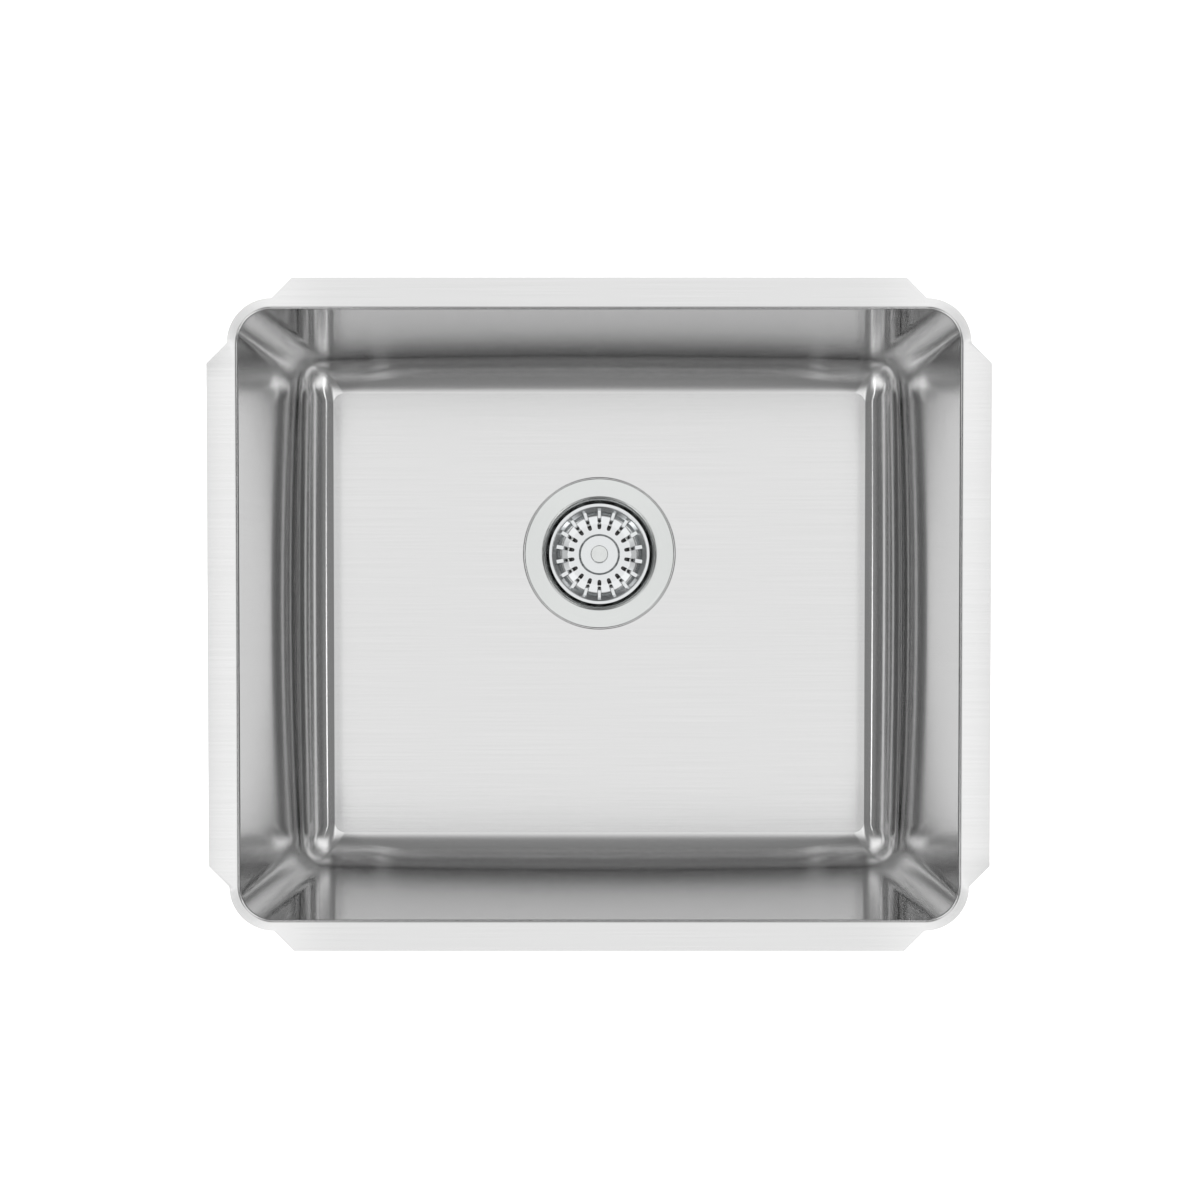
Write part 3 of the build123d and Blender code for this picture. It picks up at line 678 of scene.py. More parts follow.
def finishes():
    """Make each finish once and list them by name."""
    if "brushed_stainless_sheet" in bpy.data.materials:
        return bpy.data.materials
    scene = bpy.context.scene
    colours = {name: tuple(getattr(scene.finish_colours, name)) for name in FinishColours.__annotations__}
    # Stainless sheet with a long brushed grain: grey-white, smeared reflections, faint long scratches
    grained_metal(
        "brushed_stainless_sheet", "sheet", colours["sheet"], 0.13, 0.12, (0.9 * MM, 120 * MM, 0.008)
    )
    # Underside of the same sheet, as rolled: duller and greyer, with soft wide reflections
    grained_metal(
        "rolled_stainless_back", "sheet", colours["sheet_back"], 0.42, 0.5, (2 * MM, 60 * MM, 0.08)
    )
    # Turned and polished stainless: mirror bright, its reflections drawn out across fine turning lines
    grained_metal(
        "turned_stainless_bright", "turned", colours["turned"], 0.12, 0.1, (0.3 * MM, 20 * MM, 0.02)
    )
    # Turned stainless left satin: softer grey with fine rings
    grained_metal(
        "turned_stainless_satin", "turned", colours["satin"], 0.25, 0.3, (0.3 * MM, 12 * MM, 0.06)
    )
    # Pressed and buffed stainless: bright mirror with slight waves
    polished_metal("buffed_stainless", colours["pressed"], 0.10, 9 * MM, 0.02 * MM)
    # Chrome plate on brass: bright, cool and almost without waves
    polished_metal("chrome_plate", colours["chrome"], 0.06, 25 * MM, 0.01 * MM)
    # Die-cast zinc: dull grey with soft blotches and a fine sandy skin
    mottled("die_cast_zinc", colours["zinc"], 0.09, 1.0, 0.45, 14 * MM, (0.7 * MM, 0.05 * MM))
    # Moulded black rubber: near black, satin, faintly uneven
    mottled("black_rubber_moulded", colours["rubber"], 0.14, 0.0, 0.5, 8 * MM, (0.5 * MM, 0.03 * MM))
    # Closed-cell foam: dark grey with fine open bubbles cut at its faces
    mottled("closed_cell_foam", colours["foam"], 0.11, 0.0, 0.85, 5 * MM, (0.45 * MM, 0.15 * MM))
    # Pressed fibre: warm brown with lighter and darker flecks
    mottled("pressed_fibre", colours["fibre"], 0.16, 0.0, 0.75, 1.6 * MM, (0.3 * MM, 0.05 * MM))
    # Moulded polyethylene: milky white with a soft sheen
    mottled("polyethylene_moulded", colours["plastic"], 0.02, 0.0, 0.38, 10 * MM, (1.5 * MM, 0.02 * MM))
    # Moulded sheet rubber: dark grey, matt, with raised diamonds that catch the light on their edges
    pad_rubber(colours["pads"], scene.pad_sizes.diamond)
    return bpy.data.materials


# Making meshes and pieces


def add_piece(name, mesh, finish, slot, body, *nodes):
    """Give a finished mesh its object, material and body, and hide the CAD nodes it stands for. slot is not
    used.
    """
    piece = bpy.data.objects.new(name, mesh)
    bpy.context.scene.collection.objects.link(piece)
    if not mesh.materials:
        mesh.materials.append(finishes()[finish])
    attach(piece, body)
    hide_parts(*nodes)
    return piece


def bodies_of():
    """List the moving bodies' names by CAD node."""
    bodies = frame["record"]["behaviour"]["bodies"]
    return {node: body for body, nodes in bodies.items() for node in nodes}


def join_rows(shape, rows, closed=False):
    """Join neighbouring rows of vertices with faces. A closed row's last vertex meets its first."""
    count = len(rows[0])
    for low, high in zip(rows, rows[1:]):
        for index in range(count if closed else count - 1):
            after = (index + 1) % count
            shape.faces.new((low[index], low[after], high[after], high[index]))


def to_mesh(shape, name, facing_up=False):
    """Merge a shape's doubles, turn its faces outwards, or up where it is open, and give its mesh."""
    bmesh.ops.remove_doubles(shape, verts=shape.verts, dist=MERGE)
    bmesh.ops.recalc_face_normals(shape, faces=shape.faces)
    if facing_up and sum(face.normal.z for face in shape.faces) < 0:
        bmesh.ops.reverse_faces(shape, faces=shape.faces)
    mesh = bpy.data.meshes.new(name)
    shape.to_mesh(mesh)
    shape.free()
    return mesh


def baked(mesh, set_up):
    """Run modifiers on a mesh and give the plain result. set_up adds them to the object it is given."""
    holder = bpy.data.objects.new(mesh.name + "_work", mesh)
    bpy.context.scene.collection.objects.link(holder)
    set_up(holder)
    graph = bpy.context.evaluated_depsgraph_get()
    result = bpy.data.meshes.new_from_object(
        holder.evaluated_get(graph), preserve_all_data_layers=True, depsgraph=graph
    )
    result.name = mesh.name + "_shape"
    holder.modifiers.clear()
    bpy.data.objects.remove(holder)
    return result


def ease_edges(holder, width, segments, sharpest):
    """Add a bevel to every edge that is sharper than an angle in degrees."""
    eased = holder.modifiers.new("edges", "BEVEL")
    eased.width = width
    eased.segments = segments
    eased.limit_method = "ANGLE"
    eased.angle_limit = radians(sharpest)


def crisp(mesh, angle=28):
    """Shade a mesh smooth where it is round and keep its edges and flats crisp."""
    mesh.shade_smooth()
    mesh.set_sharp_from_angle(angle=radians(angle))

    def weigh(holder):
        weights = holder.modifiers.new("flats", "WEIGHTED_NORMAL")
        weights.keep_sharp = True
        weights.weight = 80

    return baked(mesh, weigh)


# Turned pieces


def rounded(corners, edge):
    """Round an outline's corners, given as (radius, height, rounding) in millimetres, with a rule for some.

    A corner with no rounding gets the small edge, and one on the axis or on a straight run stays.
    A fourth value is a rule (angle, height) -> added radius for what is not round.
    """
    steps = 4
    straight_run = radians(172)
    most_of_side = 0.45
    points = []
    for index, corner in enumerate(corners):
        here = Vector(corner[:2])
        before = Vector(corners[index - 1][:2]) - here
        after = Vector(corners[(index + 1) % len(corners)][:2]) - here
        rule = corner[3] if len(corner) > 3 else None
        opening = before.angle(after)
        if here.x == 0 or opening > straight_run:
            points.append((here, rule))
            continue
        shortest = min(before.length, after.length)
        reach = min((corner[2] or edge) / tan(opening / 2), most_of_side * shortest)
        radius = reach * tan(opening / 2)
        before.normalize()
        after.normalize()
        centre = here + (before + after).normalized() * radius / sin(opening / 2)
        start = here + before * reach - centre
        end = here + after * reach - centre
        for step in range(steps + 1):
            points.append((centre + start.lerp(end, step / steps).normalized() * radius, rule))
    return points


def even_angles(count):
    """List angles all round, in equal steps."""
    return [2 * pi * step / count for step in range(count)]


def turned(name, corners, angles=None, edge=0.15):
    """Turn an outline about the drain's axis into a closed mesh, with its map along and round it."""
    angles = angles or even_angles(128)
    points = rounded(corners, edge)
    count = len(angles)
    shape = bmesh.new()
    uv = shape.loops.layers.uv.new("turned")
    rows = []
    runs = [0.0]
    for index, (point, rule) in enumerate(points):
        if index:
            runs.append(runs[-1] + (point - points[index - 1][0]).length * MM)
        row = []
        for angle in angles:
            radius = point.x + (rule(angle, point.y) if rule else 0.0)
            x = DRAIN_CENTRE.x + radius * MM * cos(angle)
            y = DRAIN_CENTRE.y + radius * MM * sin(angle)
            row.append(shape.verts.new((x, y, point.y * MM)))
        rows.append(row)
    runs.append(runs[-1] + (points[0][0] - points[-1][0]).length * MM)
    mean_radius = sum(point.x for point, rule in points) / len(points) * MM
    for low in range(len(points)):
        high = (low + 1) % len(points)
        if points[low][0].x == 0 and points[high][0].x == 0:
            continue
        for column in range(count):
            after = (column + 1) % count
            end_angle = angles[after] if after else 2 * pi + angles[0]
            corners_round = (
                (rows[low][column], runs[low], angles[column]),
                (rows[low][after], runs[low], end_angle),
                (rows[high][after], runs[low + 1], end_angle),
                (rows[high][column], runs[low + 1], angles[column]),
            )
            face = shape.faces.new([corner[0] for corner in corners_round])
            for loop, (vert, along, angle) in zip(face.loops, corners_round):
                loop[uv].uv = (along, angle * mean_radius)
    return crisp(to_mesh(shape, name))


def helix(root, top, pitch, turns, height):
    """List outline points down a thread, and their rule: a rolled, rounded ridge that winds round."""
    samples = 10
    bottom = top - pitch * turns

    def rise(angle, level):
        phase = (top - level) / pitch - angle / (2 * pi)
        fade = min((top - level) / pitch, (level - bottom) / pitch, 1.0)
        return height * max(fade, 0.0) * (0.5 - 0.5 * cos(2 * pi * phase)) ** 0.7

    return [(root, top - pitch * step / samples, 0, rise) for step in range(1, samples * turns)]


def polygon_rule(sides, apothem):
    """Give the rule that turns a circle of the apothem's radius into a polygon with eased corners."""
    half = pi / sides
    flat_share = 0.93

    def added(angle, level):
        local = (angle + half) % (2 * half) - half
        return apothem / max(cos(local), cos(half * flat_share)) - apothem

    return added


def repeat_tree():
    """Build the node tree that repeats a shape round the drain's axis."""
    tree = bpy.data.node_groups.new("repeat_round_drain", "GeometryNodeTree")
    for name, kind in (
        ("Geometry", "Geometry"),
        ("Count", "Int"),
        ("Start Angle", "Float"),
        ("Centre", "Vector"),
        ("Material", "Material"),
    ):
        tree.interface.new_socket(name, in_out="INPUT", socket_type="NodeSocket" + kind)
    tree.interface.new_socket("Geometry", in_out="OUTPUT", socket_type="NodeSocketGeometry")
    given = add_node(tree, "NodeGroupInput").outputs
    places = add_node(
        tree, "GeometryNodePoints", {"Count": given["Count"], "Position": given["Centre"]}
    )
    number = add_node(tree, "GeometryNodeInputIndex")
    share = add_node(
        tree, "ShaderNodeMath", {0: number.outputs["Index"], 1: given["Count"]}, operation="DIVIDE"
    )
    turn = add_node(
        tree,
        "ShaderNodeMath",
        {0: share.outputs["Value"], 1: 2 * pi, 2: given["Start Angle"]},
        operation="MULTIPLY_ADD",
    )
    turned_by = add_node(tree, "ShaderNodeCombineXYZ", {"Z": turn.outputs["Value"]})
    copies = add_node(
        tree,
        "GeometryNodeInstanceOnPoints",
        {
            "Points": places.outputs[0],
            "Instance": given["Geometry"],
            "Rotation": turned_by.outputs["Vector"],
        },
    )
    real = add_node(tree, "GeometryNodeRealizeInstances", {"Geometry": copies.outputs["Instances"]})
    seam = 0.002 * MM  # between neighbouring copies
    joined = add_node(
        tree, "GeometryNodeMergeByDistance", {"Geometry": real.outputs["Geometry"], "Distance": seam}
    )
    painted = add_node(
        tree,
        "GeometryNodeSetMaterial",
        {"Geometry": joined.outputs["Geometry"], "Material": given["Material"]},
    )
    add_node(tree, "NodeGroupOutput", {"Geometry": painted.outputs["Geometry"]})
    return tree


def repeat(mesh, count, start, finish, finishing=None):
    """Repeat a mesh made about the Z axis round the drain, as one plain mesh."""
    tree = bpy.data.node_groups.get("repeat_round_drain") or repeat_tree()

    def set_up(holder):
        nodes = holder.modifiers.new("repeat", "NODES")
        nodes.node_group = tree
        values = {
            "Count": count,
            "Start Angle": start,
            "Centre": tuple(DRAIN_CENTRE),
            "Material": finishes()[finish],
        }
        for socket in tree.interface.items_tree:
            if socket.in_out == "INPUT" and socket.name in values:
                nodes[socket.identifier] = values[socket.name]
        if finishing:
            finishing(holder)

    return baked(mesh, set_up)


class SINK_OT_bowl(bpy.types.Operator):
    """Build the brushed bowl with its flange, bends, drain recess and hole"""

    bl_idname = "sink.bowl"
    bl_label = "Bowl"

    def execute(self, context):
        mesh = make_bowl(BowlSurface(context.scene.bowl_sizes))
        mesh.materials.append(finishes()["brushed_stainless_sheet"])
        mesh.materials.append(finishes()["rolled_stainless_back"])
        add_piece("sink_bowl_sheet", mesh, "", "brushed_stainless", "root", "sink_bowl")
        return {"FINISHED"}


# Sound pads


def pad_outline(half_length, half_height, corner):
    """List a rounded rectangle's points as (centre of its corner's circle, direction from it)."""
    corner_steps = 8
    side_steps = 14
    signs = ((1, 1), (-1, 1), (-1, -1), (1, -1))
    centres = [Vector((u * (half_length - corner), v * (half_height - corner))) for u, v in signs]
    outline = []
    for quarter, centre in enumerate(centres):
        for step in range(corner_steps + 1):
            angle = radians(90) * (quarter + step / corner_steps)
            facing = Vector((cos(angle), sin(angle)))
            outline.append((centre, facing))
        next_centre = centres[(quarter + 1) % 4]
        for step in range(1, side_steps):
            outline.append((centre.lerp(next_centre, step / side_steps), facing))
    return outline


def pad_mesh(name, spot, half_length, half_height, sizes):
    """Build a rounded pad that lies on the steel.

    spot(along, up) gives a place on the steel and its outward direction.
    """
    thick, corner = sizes.thickness, sizes.corner_radius
    ease = 0.8 * MM
    outline = pad_outline(half_length, half_height, corner)
    # Each ring is (share of the way out, inset, height above the steel)
    rings = [(share, 0.0, 0.0) for share in (0.0, 0.3, 0.6, 0.85)]
    rings += [(1.0, 0.0, 0.0), (1.0, 0.0, thick - ease)]
    rings += [
        (1.0, ease * (1 - cos(radians(step))), thick - ease * (1 - sin(radians(step))))
        for step in (22.5, 45, 67.5, 90)
    ]
    rings += [(share, ease, thick) for share in (0.97, 0.85, 0.6, 0.3, 0.0)]
    shape = bmesh.new()
    uv = shape.loops.layers.uv.new("pad")
    flat_places = {}
    rows = []
    for share, inset, lift in rings:
        row = []
        for centre, facing in outline:
            flat = (centre + facing * (corner - inset)) * share
            place, outward = spot(flat.x, flat.y)
            vert = shape.verts.new(place + outward * lift)
            flat_places[vert] = flat
            row.append(vert)
        rows.append(row)
    join_rows(shape, rows, closed=True)
    for face in shape.faces:
        for loop in face.loops:
            loop[uv].uv = flat_places[loop.vert]
    return crisp(to_mesh(shape, name))


class SINK_OT_pads(bpy.types.Operator):
    """Lay the rubber sound pads on the outside of the walls and under the floor"""

    bl_idname = "sink.pads"
    bl_label = "Sound pads"

    def execute(self, context):
        sizes = context.scene.pad_sizes
        surface = BowlSurface(context.scene.bowl_sizes)
        pads = []
        for side, wall in enumerate(("right", "rear", "left", "front")):
            low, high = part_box("sound_pad_" + wall)
            middle = (low.z + high.z) / 2
            half_length = (high.y - low.y) / 2 if side % 2 == 0 else (high.x - low.x) / 2

            def spot(along, up, side=side, middle=middle):
                return surface.wall_spot(side, along, middle + up)

            pads.append(("sound_pad_" + wall, spot, half_length, (high.z - low.z) / 2))
        for part in ("floor_left", "floor_right"):
            low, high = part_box("sound_pad_" + part)
            centre = (low + high) / 2
            half = (high - low) / 2

            def spot(along, up, centre=centre, top=high.z):
                return Vector((centre.x + along, centre.y + up, top)), Vector((0, 0, -1))

            pads.append(("sound_pad_" + part, spot, half.x, half.y))
        for node, spot, half_length, half_height in pads:
            mesh = pad_mesh(node + "_rubber", spot, half_length, half_height, sizes)
            add_piece(node + "_rubber", mesh, "pad_rubber_diamond", "pad_rubber", "root", node)
        return {"FINISHED"}


# Drain: radii, thicknesses and threads in millimetres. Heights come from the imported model.

CUP_RADIUS = 43.0  # outside, at the roots of its thread
CUP_THREAD = (2.4, 9, 0.7)  # pitch, turns, height
CUP_WAIST = 40.4  # outside, below its thread
CUP_FOOT = 39.0
CUP_FLOOR = 1.8
NECK_RADIUS = 23.3
NECK_THREAD = (2.2, 7, 0.6)
NECK_LEAD = 1.1  # plain neck below its thread
BRIDGE_BORE = 20.05
SEAT_RADIUS = 37.8
RESTING_GAP = 0.3  # stopper above its seat

FOAM_RING = (44.5, 56.15)  # bore and edge
UNDER_RING = (43.85, 55.85)  # bore and edge of what is stacked under the sink
LOCKNUT_BODY = 48.85
LOCKNUT_FLANGE = 2.6
LUG_COUNT = 6
LUG_HALF_WIDTH = 5.0
LUG_REACH = 5.5

TUBE_RADIUS = 19.05
TUBE_BORE = 18.05
TUBE_FLANGE = 23.35
TUBE_FLANGE_THICKNESS = 1.2
COUPLING_BORE = 24.05
COUPLING_APOTHEM = 28.55

STEM_RADIUS = 3.0
STEM_BORE = 3.05
JOURNAL_RADIUS = 3.5  # where the basket turns
COLLAR_RADIUS = 5.5
COLLAR_THICKNESS = 1.2
STEM_THREAD = (1.0, 5, -0.25)  # cut into the stem
KNOB_RADIUS = 6.7
KNOB_WAIST = 4.6
KNOB_HEAD = 7.5
BACKING_RADIUS = 19.05
STOPPER_LIP = 24.05
NUT_APOTHEM = 5.0

BASKET_SHEET = 0.8
BASKET_BORE = 3.55
BASKET_WALL_FOOT = 31.8
BASKET_RIM = (35.73, 38.73)  # inner and outer edge
SLOT_RADIUS = 22.5  # middle of each slot


class SINK_OT_strainer(bpy.types.Operator):
    """Turn the strainer's flange and cup with its two threads"""

    bl_idname = "sink.strainer"
    bl_label = "Strainer"

    def execute(self, context):
        sizes = context.scene.drain_sizes
        mouth, flange = sizes.mouth_radius / MM, sizes.flange_radius / MM
        top, neck_end = ends("strainer_body")
        underside = ends("flange_gasket")[0]
        thread_top = ends("sink_bowl")[1]
        thread_end = thread_top - CUP_THREAD[0] * CUP_THREAD[1]
        seat = ends("stopper_seal")[1] - RESTING_GAP
        neck_top = seat - CUP_FLOOR
        neck_thread_end = neck_end + NECK_LEAD
        neck_thread_top = neck_thread_end + NECK_THREAD[0] * NECK_THREAD[1]
        ledge = ends("socket_bridge")[1]
        outline = [
            (mouth, top, 2.8),
            (flange, top, 0.8),
            (flange, underside, 0),
            (CUP_RADIUS, underside, 0),
            (CUP_RADIUS, thread_top, 0),
            *helix(CUP_RADIUS, thread_top, *CUP_THREAD),
            (CUP_RADIUS, thread_end, 0),
            (CUP_WAIST, thread_end - 1.2, 0.6),
            (CUP_FOOT, neck_top, 3.0),
            (NECK_RADIUS, neck_top, 0),
            (NECK_RADIUS, neck_thread_top, 0),
            *helix(NECK_RADIUS, neck_thread_top, *NECK_THREAD),
            (NECK_RADIUS, neck_thread_end, 0),
            (NECK_RADIUS, neck_end, 0),
            (TUBE_RADIUS, neck_end, 0),
            (TUBE_RADIUS, ledge, 0),
            (BRIDGE_BORE, ledge, 0),
            (BRIDGE_BORE, seat, 0.5),
            (SEAT_RADIUS, seat, 3.0),
        ]
        mesh = turned("strainer_body_turned", outline, even_angles(192))
        finish, slot = "turned_stainless_bright", "polished_stainless"
        add_piece("strainer_body_turned", mesh, finish, slot, "root", "strainer_body")
        return {"FINISHED"}


def basket_profile():
    """List the pressed basket's upper side from its hole to its rim, in millimetres."""
    rim_top, underside = ends("strainer_basket")
    floor = underside + BASKET_SHEET
    boss_top = floor + 1.8
    # Raised boss round the stem, flat floor, shelf, steep wall and rim
    corners = [
        (BASKET_BORE, boss_top, 0),
        (14.85, boss_top, 0.9),
        (15.75, floor, 0.9),
        (23.8, floor, 3.0),
        (BASKET_WALL_FOOT, floor + 1.2, 3.0),
        (BASKET_RIM[0], rim_top, 1.6),
        (BASKET_RIM[1], rim_top, 0),
    ]
    # Closed far below, so that every corner has two neighbours
    far_below = floor - 50
    closed = [*corners, (BASKET_RIM[1], far_below, 0), (BASKET_BORE, far_below, 0)]
    return [point for point, rule in rounded(closed, 0.01) if point.y > far_below + 1]


def basket_sector(sizes):
    """Build one rib's share of the basket's upper side, about the Z axis, with its drain slot."""
    profile = basket_profile()
    half = pi / sizes.rib_count
    columns = 12
    angles = [half * (2 * step / columns - 1) for step in range(columns + 1)]
    shape = bmesh.new()

    def height(radius):
        for before, after in zip(profile, profile[1:]):
            if before.x <= radius <= after.x:
                share = (radius - before.x) / max(after.x - before.x, 1e-9)
                return before.y + (after.y - before.y) * share
        return profile[0].y if radius < profile[0].x else profile[-1].y

    def vert(x, y):
        radius = (x * x + y * y) ** 0.5
        return shape.verts.new((x * MM, y * MM, height(radius) * MM))

    def ring_row(radius):
        return [vert(radius * cos(angle), radius * sin(angle)) for angle in angles]

    # A patch round the slot, and plain rows inside and outside it, closer together next to it
    patch_low, patch_high = 18.6, 26.6
    side_steps = 8
    inner_rows = [ring_row(point.x) for point in profile if point.x < patch_low - 0.2] + [ring_row(17.2)]
    outer_rows = [ring_row(27.6), ring_row(29.0)] + [ring_row(point.x) for point in profile if point.x > 29.5]
    low_row = ring_row(patch_low)
    high_row = ring_row(patch_high)
    radii = [patch_low + (patch_high - patch_low) * step / side_steps for step in range(1, side_steps)]
    right = [vert(radius * cos(half), radius * sin(half)) for radius in radii]
    left = [vert(radius * cos(half), -radius * sin(half)) for radius in radii]
    border = low_row + right + high_row[::-1] + left[::-1]

    def slot_edge(x, y):
        """Give the place on the slot's edge that a place on the patch's border is drawn in to."""
        half_length, half_width = 4.0, 3.9
        spread = 2.4  # along the slot
        end = sizes.slot_width / MM / 2
        straight = sizes.slot_length / MM / 2 - end
        away = Vector((x - SLOT_RADIUS, y))
        away = Vector((away.x / half_length, away.y / half_width)).normalized()
        shift = away.x * spread
        if abs(shift) < straight:
            return Vector((SLOT_RADIUS + shift, end if away.y > 0 else -end))
        return Vector((SLOT_RADIUS + max(-straight, min(straight, shift)), 0)) + away * end

    patch = [border]
    for share in (0.5, 0.8, 0.93, 1.0):
        ring = []
        for corner in border:
            x, y = corner.co.x / MM, corner.co.y / MM
            edge = slot_edge(x, y)
            ring.append(vert(x + (edge.x - x) * share, y + (edge.y - y) * share))
        patch.append(ring)
    join_rows(shape, patch, closed=True)
    join_rows(shape, inner_rows + [low_row])
    join_rows(shape, [high_row] + outer_rows)
    return to_mesh(shape, "basket_sector", facing_up=True)


def basket_rib(sizes):
    """Build one rib, about the Z axis: a rounded buttress from the basket's shelf up to its steep wall."""
    half_width, ease = sizes.rib_width / MM / 2, 0.35
    squareness = 0.4  # of its ridge, from 1 for a round one down to 0 for a flat one
    rim_top, underside = ends("strainer_basket")
    top = rim_top - 8.7
    shelf = underside + BASKET_SHEET + 0.2
    foot, lean, wall_head = 25.2, 2.0, 34.1
    root = Vector((BASKET_WALL_FOOT, shelf))
    # Ridge line of the rib, from its foot on the shelf to its head in the wall
    corners = [(foot, shelf, 0), (foot + lean, top, 1.6), (wall_head, top, 0), (*root, 0)]
    ridge = [point for point, rule in rounded(corners, 0.01) if point.x < wall_head + 0.01]
    sides = 8
    shape = bmesh.new()
    rows = []
    for point in ridge[:-3]:
        inward = (root - point).normalized()
        row = []
        for step in range(sides + 1):
            angle = pi * step / sides
            place = point + inward * ease * (1 - sin(angle) ** squareness)
            row.append(shape.verts.new((place.x * MM, half_width * cos(angle) * MM, place.y * MM)))
        for across in (-half_width, half_width):
            row.append(shape.verts.new((root.x * MM, across * MM, root.y * MM)))
        rows.append(row)
    join_rows(shape, rows, closed=True)
    for row in (rows[0], rows[-1]):
        shape.faces.new(row)
    bmesh.ops.remove_doubles(shape, verts=shape.verts, dist=MERGE)
    bmesh.ops.dissolve_degenerate(shape, edges=shape.edges, dist=MERGE)
    mesh = to_mesh(shape, "basket_rib")
    mesh.shade_smooth()
    mesh.set_sharp_from_angle(angle=radians(50))
    return mesh


class SINK_OT_basket(bpy.types.Operator):
    """Press the strainer basket with its ribs and drain slots"""

    bl_idname = "sink.basket"
    bl_label = "Basket"

    def execute(self, context):
        def thicken(holder):
            wall = holder.modifiers.new("sheet", "SOLIDIFY")
            wall.thickness = BASKET_SHEET * MM
            wall.offset = -1
            wall.use_even_offset = True
            ease_edges(holder, 0.15 * MM, 2, 50)

        sizes = context.scene.drain_sizes
        start = radians(90)
        finish = "buffed_stainless"
        dish = crisp(repeat(basket_sector(sizes), sizes.rib_count, start, finish, thicken), 40)
        ribs = repeat(basket_rib(sizes), sizes.rib_count, start, finish)
        for name, mesh in (("basket_dish", dish), ("basket_ribs", ribs)):
            add_piece(name, mesh, finish, "polished_stainless", "basket", "strainer_basket")
        return {"FINISHED"}


def ring_outline(node, bore, edge, *rule):
    """Outline a flat ring between a node's top and foot, with an edge that may follow a rule."""
    top, foot = ends(node)
    return [(bore, top, 0), (edge, top, 0, *rule), (edge, foot, 0, *rule), (bore, foot, 0)]


def locknut_lugs():
    """Give the angles to turn the locknut through, and the rule of its lugs."""
    outer = LOCKNUT_BODY + LUG_REACH
    front = asin(LUG_HALF_WIDTH / outer)
    foot = asin(LUG_HALF_WIDTH / LOCKNUT_BODY)
    spacing = 2 * pi / LUG_COUNT
    gap_steps = 14
    flat_share = 0.93  # of a lug's front, up to its eased edge
    edge_ease = 0.35
    slack = 1.0001  # so that rounding errors move no mark past its limit
    marks = [-foot, -(front + foot) / 2, -front, -front * flat_share, -front / 2, 0]
    marks += [-mark for mark in reversed(marks[:-1])]
    marks += [foot + (spacing - 2 * foot) * step / gap_steps for step in range(1, gap_steps)]
    angles = [spacing * lug + mark for lug in range(LUG_COUNT) for mark in marks]

    def added(angle, level):
        local = abs((angle + spacing / 2) % spacing - spacing / 2)
        if local >= foot:
            return 0.0
        if local <= front * flat_share * slack:
            return outer * cos(front) / cos(local) - LOCKNUT_BODY
        if local <= front * slack:
            return LUG_REACH - edge_ease
        return LUG_HALF_WIDTH / sin(local) - LOCKNUT_BODY

    return sorted(angles), added


def knob_outline():
    """Outline the knob, which is screwed onto the stem."""
    top, foot = ends("basket_knob")
    bore_end = ends("basket_stem")[0] + STEM_BORE - STEM_RADIUS
    neck = top - KNOB_HEAD
    return [
        (0, top, 0),
        (KNOB_RADIUS, top, 0.6),
        (KNOB_RADIUS, neck, 0.6),
        (KNOB_WAIST, neck, 0.6),
        (KNOB_WAIST, foot, 0),
        (STEM_BORE, foot, 0),
        (STEM_BORE, bore_end, 0),
        (0, bore_end, 0),
    ]


def stem_outline():
    """Outline the stem: its collar below the knob, journal, clip groove, thread and tip."""
    top, tip = ends("basket_stem")
    collar_top = ends("basket_knob")[1]
    collar_foot = collar_top - COLLAR_THICKNESS
    clip_top, clip_foot = ends("retaining_clip")
    washer_top = ends("seal_backing_washer")[0]
    nut_top, nut_foot = ends("stem_nut")
    groove = JOURNAL_RADIUS - 0.7
    chamfer = 1.0
    return [
        (0, top, 0),
        (STEM_RADIUS, top, 0.4),
        (STEM_RADIUS, collar_top, 0),
        (COLLAR_RADIUS, collar_top, 0),
        (COLLAR_RADIUS, collar_foot, 0),
        (JOURNAL_RADIUS, collar_foot, 0),
        (JOURNAL_RADIUS, clip_top, 0),
        (groove, clip_top, 0),
        (groove, clip_foot, 0),
        (JOURNAL_RADIUS, clip_foot, 0),
        (JOURNAL_RADIUS, washer_top, 0),
        (STEM_RADIUS, washer_top, 0),
        (STEM_RADIUS, nut_top, 0),
        *helix(STEM_RADIUS, nut_top, *STEM_THREAD),
        (STEM_RADIUS, nut_foot, 0),
        (STEM_RADIUS, tip + chamfer, 0),
        (STEM_RADIUS - chamfer, tip, 0),
        (0, tip, 0),
    ]


def stopper_outline():
    """Outline the rubber stopper: a cone with an upright lip at its foot."""
    top, foot = ends("stopper_seal")
    return [
        (STEM_BORE, foot, 0),
        (STOPPER_LIP, foot, 0.4),
        (STOPPER_LIP, foot + 1.2, 0.4),
        (STOPPER_LIP - 2, top, 0.4),
        (STEM_BORE, top, 0),
    ]


def locknut_outline(lugs):
    """Outline the locknut: a flange against the fibre washer, and a body with lugs."""
    top, foot = ends("locknut")
    bore, edge = UNDER_RING
    return [
        (bore, top, 0),
        (edge, top, 0),
        (edge, top - LOCKNUT_FLANGE, 0),
        (LOCKNUT_BODY, top - LOCKNUT_FLANGE, 0, lugs),
        (LOCKNUT_BODY, foot, 0.6, lugs),
        (bore, foot, 0),
    ]


def tail_washer_outline():
    """Outline the tailpiece's washer: a flat ring with a collar that stands in the neck."""
    top, foot = ends("tailpiece_washer")
    neck_end = ends("strainer_body")[1]
    bore, collar = TUBE_BORE - 0.1, TUBE_RADIUS - 0.2
    return [
        (bore, foot, 0),
        (TUBE_FLANGE, foot, 0),
        (TUBE_FLANGE, neck_end, 0),
        (collar, neck_end, 0),
        (collar, top, 0),
        (bore, top, 0),
    ]


